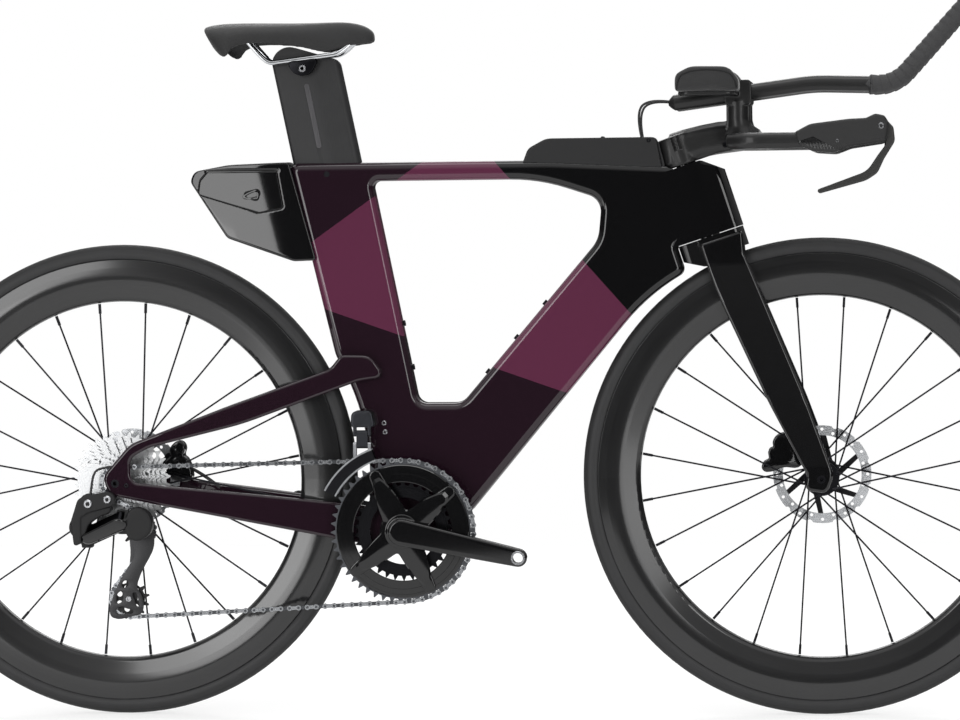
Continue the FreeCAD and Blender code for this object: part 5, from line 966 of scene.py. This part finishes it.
# Front derailleur. A dark grey motor body on the seat tube, one short link, and a dark pressed
# cage with bright lips that carries the chain across.
cage_steel = Finish("cage_steel", Metallic=1.0)
reach, turn, _ = about_axle(cage_steel, "chainrings")
brushed = wound(cage_steel, reach, turn, 2600, 9)
lip = (1 - reach.between(0.109, 0.1096)) + reach.between(0.1235, 0.1241)
cage_steel.parted(lip.clamped(), brushed, under=("1b1b1d", "2c2c2f"), over=("8e9093", "bcbec1"))
cage_steel.feed(Roughness=0.3 + (brushed - 0.5) * 0.14)
cage_steel.bump(brushed, 0.00002, 0.5)
dress(grey_alloy, "front_derailleur_link")
motor = eased(copied("derailleur_motor", "front_derailleur_body"), 0.0009, 5)
fitted(motor, grey_alloy, "frame", "alloy_grey", "front_derailleur_body")
dress(cage_steel, "front_derailleur_cage")


# Disc brakes. Black forged callipers bolted to the fork and stay, with two backed pads in
# each that slide in and grip the rotor.
CALLIPER_THICK = 0.024
ROTOR_SLOT = 0.0725
SLOT_HALF = 0.0047
CALLIPER_EDGE = 0.0025
FRONT_CALLIPER = [
    (0.4345, 0.388), (0.444, 0.396), (0.468, 0.393), (0.47, 0.372), (0.471, 0.355), (0.4454, 0.352),
    (0.4279, 0.346), (0.419, 0.3475), (0.419, 0.3545), (0.4275, 0.361), (0.4281, 0.3741),
    (0.4335, 0.3775),
]
REAR_CALLIPER = [
    (-0.438, 0.385), (-0.4311, 0.3885), (-0.425, 0.383), (-0.4263, 0.369), (-0.4212, 0.3635),
    (-0.4155, 0.347), (-0.416, 0.3365), (-0.43, 0.3345), (-0.442, 0.3375), (-0.4475, 0.347),
    (-0.45, 0.359), (-0.4415, 0.3685), (-0.4427, 0.377),
]
for end, body, outline in (("front", "steering", FRONT_CALLIPER), ("rear", "frame", REAR_CALLIPER)):
    axle = axle_of(end + "_rotor")
    calliper = cut_plate(end + "_brake_body", [outline], axle.y, CALLIPER_THICK, CALLIPER_EDGE)
    slot = lofted("slot", [hoop((axle.x, axle.z), ROTOR_SLOT, axle.y + side, 96)
                           for side in (-SLOT_HALF, SLOT_HALF)])
    picked(calliper)
    cut = calliper.modifiers.new("cut", "BOOLEAN")
    cut.operation = "DIFFERENCE"
    cut.object = slot
    bpy.ops.object.modifier_apply(modifier=cut.name)
    bpy.data.objects.remove(slot)
    bpy.ops.object.shade_smooth_by_angle(angle=radians(35))
    fitted(calliper, crank_black, body, "alloy_black", end + "_caliper")
dress(black_steel, "front_pad_inner", "front_pad_outer", "rear_pad_inner", "rear_pad_outer")


# Stem, base bar and extensions. Satin black carbon mouldings: the wing of the bar is clamped
# through the stem, and the two bent tubes stand over it on their risers.
bar_carbon = laid_carbon("bar_carbon", "0f0f10", "191919", 0.4, (0.6, 9, 9), 0.15)
STEM_STATIONS = [
    (0.29, 0.0235, 0.785, 0.827), (0.31, 0.0255, 0.784, 0.833), (0.335, 0.0255, 0.793, 0.839),
    (0.36, 0.0245, 0.7975, 0.8435), (0.385, 0.023, 0.8005, 0.844), (0.405, 0.021, 0.803, 0.839),
    (0.422, 0.0185, 0.806, 0.827),
]
STEM_SQUARE = 0.55


def stem_ring(x, half, foot, top):
    """Section of the stem's fairing: a square with well rounded corners."""
    ring = []
    for turn in whole_turn(28):
        across = copysign(abs(cos(turn)) ** STEM_SQUARE, cos(turn))
        above = copysign(abs(sin(turn)) ** STEM_SQUARE, sin(turn))
        ring.append((x, half * across, (top + foot) / 2 + (top - foot) / 2 * above))
    return ring


def leaning(middle, ahead, spots):
    """Section that leans: points so far ahead of its middle and so far aside."""
    return [middle + ahead * reach + Vector((0, aside, 0)) for reach, aside in spots]


STEERING_AXIS = Vector((-0.309017, 0, 0.951057))
COLLAR_AHEAD = Vector((STEERING_AXIS.z, 0, -STEERING_AXIS.x))
COLLAR_ENDS = [(Vector((0.311, 0, 0.7894)), 0.0305), (Vector((0.2995, 0, 0.8249)), 0.0275)]
COLLAR_FLAT = 0.0235
collar = []
for middle, radius in COLLAR_ENDS:
    spots = [(radius * cos(turn), max(-COLLAR_FLAT, min(COLLAR_FLAT, radius * sin(turn))))
             for turn in whole_turn(48)]
    collar.append(leaning(middle, COLLAR_AHEAD, spots))
fairing = lofted("stem_fairing", [stem_ring(*station) for station in STEM_STATIONS])
moulding = gathered("bar_and_stem", [copied("bar_and_stem", "stem", "base_bar"), fairing,
                                     lofted("collar", collar)])
fitted(eased(moulding, 0.0016, 12), bar_carbon, "steering", "carbon_satin", "stem", "base_bar")
dress(bar_carbon, "extensions")

EXTENSION_SIDE = 0.05
RISER = [(0.8235, 0.394, 0.024), (0.828, 0.393, 0.0215), (0.835, 0.391, 0.0182),
         (0.845, 0.3895, 0.0168), (0.872, 0.3895, 0.0166)]
feet = []
for side in (-EXTENSION_SIDE, EXTENSION_SIDE):
    rings = []
    for rise, ahead, radius in RISER:
        rings.append([(x, side + z, rise) for x, _, z in hoop((ahead, 0), radius, 0, 40)])
    feet.append(lofted("riser", rings))
rests = gathered("arm_rests", [copied("arm_rests", "arm_rest_supports")] + feet)
fitted(eased(rests, 0.0013, 9), bar_carbon, "steering", "alloy_black", "arm_rest_supports")
screws("stem_screws", [(0.3699, -0.0238, 0.8106, 0.0042), (0.389, -0.0645, 0.869, 0.003)],
       black_steel, "steering")

PLUG_AXIS = Vector((-0.992, 0, -0.127))
PLUG_ACROSS = Vector((-PLUG_AXIS.z, 0, PLUG_AXIS.x))
PLUG_SECTION = [(0.0107, -0.002), (0.0107, 0.0005), (0.0092, 0.0025), (0.006, 0.006), (0.003, 0.0085)]
plugs = []
for side in (-EXTENSION_SIDE, EXTENSION_SIDE):
    rings = []
    for radius, along in PLUG_SECTION:
        middle = Vector((0.3, side, 0.87)) + PLUG_AXIS * along
        spots = [(radius * cos(turn), radius * sin(turn)) for turn in whole_turn(32)]
        rings.append(leaning(middle, PLUG_ACROSS, spots))
    plugs.append(lofted("extension_plugs", rings, 30))
fitted(gathered("extension_plugs", plugs), moulded, "steering", "rubber")


# Arm pads. Two hollowed foam pads in a close knit cover with a welt round each, held on their
# cups by hook and loop.
knit = Finish("pad_knit", Roughness=0.85, Sheen_Weight=0.3, Sheen_Roughness=0.6)
x, y, _ = knit.axes()
loops = (x * 5200).wave() * (y * 5200 + (x * 2600).wave()).wave()
nap = knit.noise(240.0, 4.0)
knit.feed(Base_Color=knit.tones((loops * 0.3 + nap).between(0.2, 0.9), "0f0f10", "202021"))
knit.feed(Roughness=0.75 + nap * 0.2)
knit.bump(loops * 0.5 + nap, 0.0002, 0.6)
pads = puffed(eased(copied("arm_rest_pads", "arm_pads"), 0.0025, 14), 2.5, 0.002)
fitted(pads, knit, "steering", "foam", "arm_pads")

PAD_SIDE = 0.128
WELT_RADIUS = 0.0011
WELT = [(0.307, 0.887), (0.3085, 0.902), (0.32, 0.911), (0.347, 0.914), (0.373, 0.912),
        (0.386, 0.904), (0.3895, 0.889)]
seams = [[pads.closest_point_on_mesh((x, side, z))[1] for x, z in WELT] for side in (-PAD_SIDE, PAD_SIDE)]
fitted(bars("pad_welts", seams, WELT_RADIUS), moulded, "steering", "foam")


# Bar tape. A soft ribbon wound round the bend and the upright end of each extension, every
# turn lapping half over the last, so that a low edge climbs round the tube.
TAPE_FROM = Vector((0.574, 0.8926))
TAPE_CORNER = Vector((0.609, 0.8915))
TAPE_TO = Vector((0.7093, 1.003))
TAPE_BEND = 0.055
TAPE_LAP = 0.0125
TAPE_RADIUS = 0.0132
TAPE_STEP = 0.0011
before = (TAPE_CORNER - TAPE_FROM).normalized()
after = (TAPE_TO - TAPE_CORNER).normalized()
bend_turn = acos(before.dot(after))
bend_reach = TAPE_BEND * tan(bend_turn / 2)
bend_from = TAPE_CORNER - before * bend_reach
bend_to = TAPE_CORNER + after * bend_reach
bend_centre = bend_from + Vector((-before.y, before.x)) * TAPE_BEND
straight = (bend_from - TAPE_FROM).length
handle = TAPE_BEND * 4 / 3 * tan(bend_turn / 4)


def tape_spot(point):
    """Length along the tape's tube, and the outward way, at a point of its side view."""
    if (point - bend_from).dot(before) < 0:
        return (point - TAPE_FROM).dot(before), Vector((-before.y, before.x))
    if (point - bend_to).dot(after) > 0:
        return straight + TAPE_BEND * bend_turn + (point - bend_to).dot(after), Vector((-after.y, after.x))
    inward = (bend_centre - point).normalized()
    swept = atan2(before.x * inward.x + before.y * inward.y, -before.y * inward.x + before.x * inward.y)
    return straight - TAPE_BEND * swept, inward


ribbon = Finish("tape_ribbon", Roughness=0.7)
ribbon.worked(ribbon.noise(700.0, 3.0), "29292a", "3c3c3d", rough=(0.6, 0.2), relief=(0.00012, 0.6),
              spread=(0.3, 0.7))
stops = [(TAPE_FROM, before * 0.003), (bend_from, before * handle), (bend_to, after * handle),
         (TAPE_TO, after * 0.03)]
for hand, side in (("right", -EXTENSION_SIDE), ("left", EXTENSION_SIDE)):
    shape = bpy.data.curves.new("bar_tape_" + hand, "CURVE")
    shape.dimensions = "3D"
    line = shape.splines.new("BEZIER")
    line.bezier_points.add(len(stops) - 1)
    for knot, (spot, arm) in zip(line.bezier_points, stops):
        knot.co = (spot.x, side, spot.y)
        knot.handle_left = (spot.x - arm.x, side, spot.y - arm.y)
        knot.handle_right = (spot.x + arm.x, side, spot.y + arm.y)
    line.resolution_u = 90
    shape.bevel_depth = TAPE_RADIUS
    shape.bevel_resolution = 10
    shape.use_fill_caps = True
    wrap = meshed(placed("bar_tape_" + hand, shape))
    for vertex in wrap.data.vertices:
        spot = Vector((vertex.co.x, vertex.co.z))
        run, outward = tape_spot(spot)
        around = atan2(vertex.co.y - side, spot.dot(outward) - TAPE_CORNER.dot(outward))
        lap = (run / TAPE_LAP + around / (2 * pi)) % 1.0
        sink = TAPE_STEP * lap ** 2
        spoke = Vector((outward.x * cos(around), sin(around), outward.y * cos(around)))
        vertex.co -= spoke * sink
    bpy.ops.object.shade_smooth()
    fitted(wrap, ribbon, "steering", "rubber", "extension_tape")


# Shifters. A moulded plug closes the end of each extension, with one rubber push button on
# its inner side.
button_rubber = Finish("button_rubber", Roughness=0.6)
button_rubber.worked(button_rubber.cells(700.0), "1b1b1c", "2b2b2c", rough=(0.55, 0.2), relief=(0.0002, 0.6))
dress(moulded, "shifter_bodies")
dress(button_rubber, "shift_button_left", "shift_button_right")


# Brake levers. A ribbed rubber hood is stretched over the body at the end of each horn, and
# the forged black blade turns on a pin at its front.
HOOD_EDGE = [(0.47, 0.8105), (0.496, 0.819), (0.528, 0.801)]
LEVER_FACE = 0.213
hood = Finish("hood_rubber", Roughness=0.62)
x, _, z = hood.axes()
studs = (x * 2800).wave() * (z * 2800).wave()
ribs = ((x + z * 0.3) * 1500).wave() * (1 - z.between(0.806, 0.812)) * (1 - x.between(0.535, 0.545))
grime = hood.noise(120.0, 3.0)
hard = (1 - left_of(x, z, *HOOD_EDGE[:2])) * (1 - left_of(x, z, *HOOD_EDGE[1:]))
rubbery = hood.tones(grime.between(0.3, 0.7), "0f0f10", "191919")
hood.feed(Base_Color=hood.blend(hard, rubbery, tint("0a0a0b")), Roughness=0.55 + grime * 0.18 - hard * 0.4)
hood.bump(studs * 0.12 + ribs * 0.8 + grime * 0.15, 0.0004, 0.7)
fitted(eased(copied("lever_hoods", "lever_bodies"), 0.0013, 12), hood, "steering", "rubber", "lever_bodies")
lever_coat = Finish("lever_coat", Specular_IOR_Level=0.4)
lever_coat.worked(lever_coat.noise(2200.0), "1f1f1e", "2b2b29", rough=(0.34, 0.14),
                  relief=(0.00003, 0.4), spread=(0.3, 0.7))
dress(lever_coat, "brake_lever_left", "brake_lever_right")
for hand, face in (("right", -LEVER_FACE), ("left", LEVER_FACE)):
    screws("lever_pins_" + hand, [(0.588, face, 0.832, 0.004), (0.5287, face, 0.8125, 0.0024)],
           ground_steel, "steering")


# Food box on the top tube. A matte moulded shell with a hollow nose that fits round the stem's
# collar, and a soft rubber lid hinged across its front.
shell = Finish("box_shell", Specular_IOR_Level=0.35)
shell.worked(shell.noise(1500.0), "121213", "1c1c1d", rough=(0.42, 0.16), relief=(0.00006, 0.5))
NOSE_GAP = 0.0013
NOSE_TURN = radians(30)
NOSE_BACK = 0.042
nose = []
for middle, radius in COLLAR_ENDS:
    hollow = radius + NOSE_GAP
    turns = [NOSE_TURN * (i / 6 - 1) for i in range(13)]
    spots = [(-hollow * cos(turn), hollow * sin(turn)) for turn in turns]
    half = hollow * sin(NOSE_TURN)
    spots += [(-NOSE_BACK, half), (-NOSE_BACK, -half)]
    nose.append(leaning(middle, COLLAR_AHEAD, spots))
food_box = gathered("food_box", [copied("food_box", "bento_box"), lofted("nose", nose)])
fitted(eased(food_box, 0.0011, 9), shell, "frame", "carbon_satin", "bento_box")
fitted(eased(copied("food_box_lid", "bento_lid"), 0.0008, 4), shell, "bento_lid", "rubber", "bento_lid")
screws("food_box_screw", [(0.2611, -0.0176, 0.8184, 0.003)], black_steel, "frame")
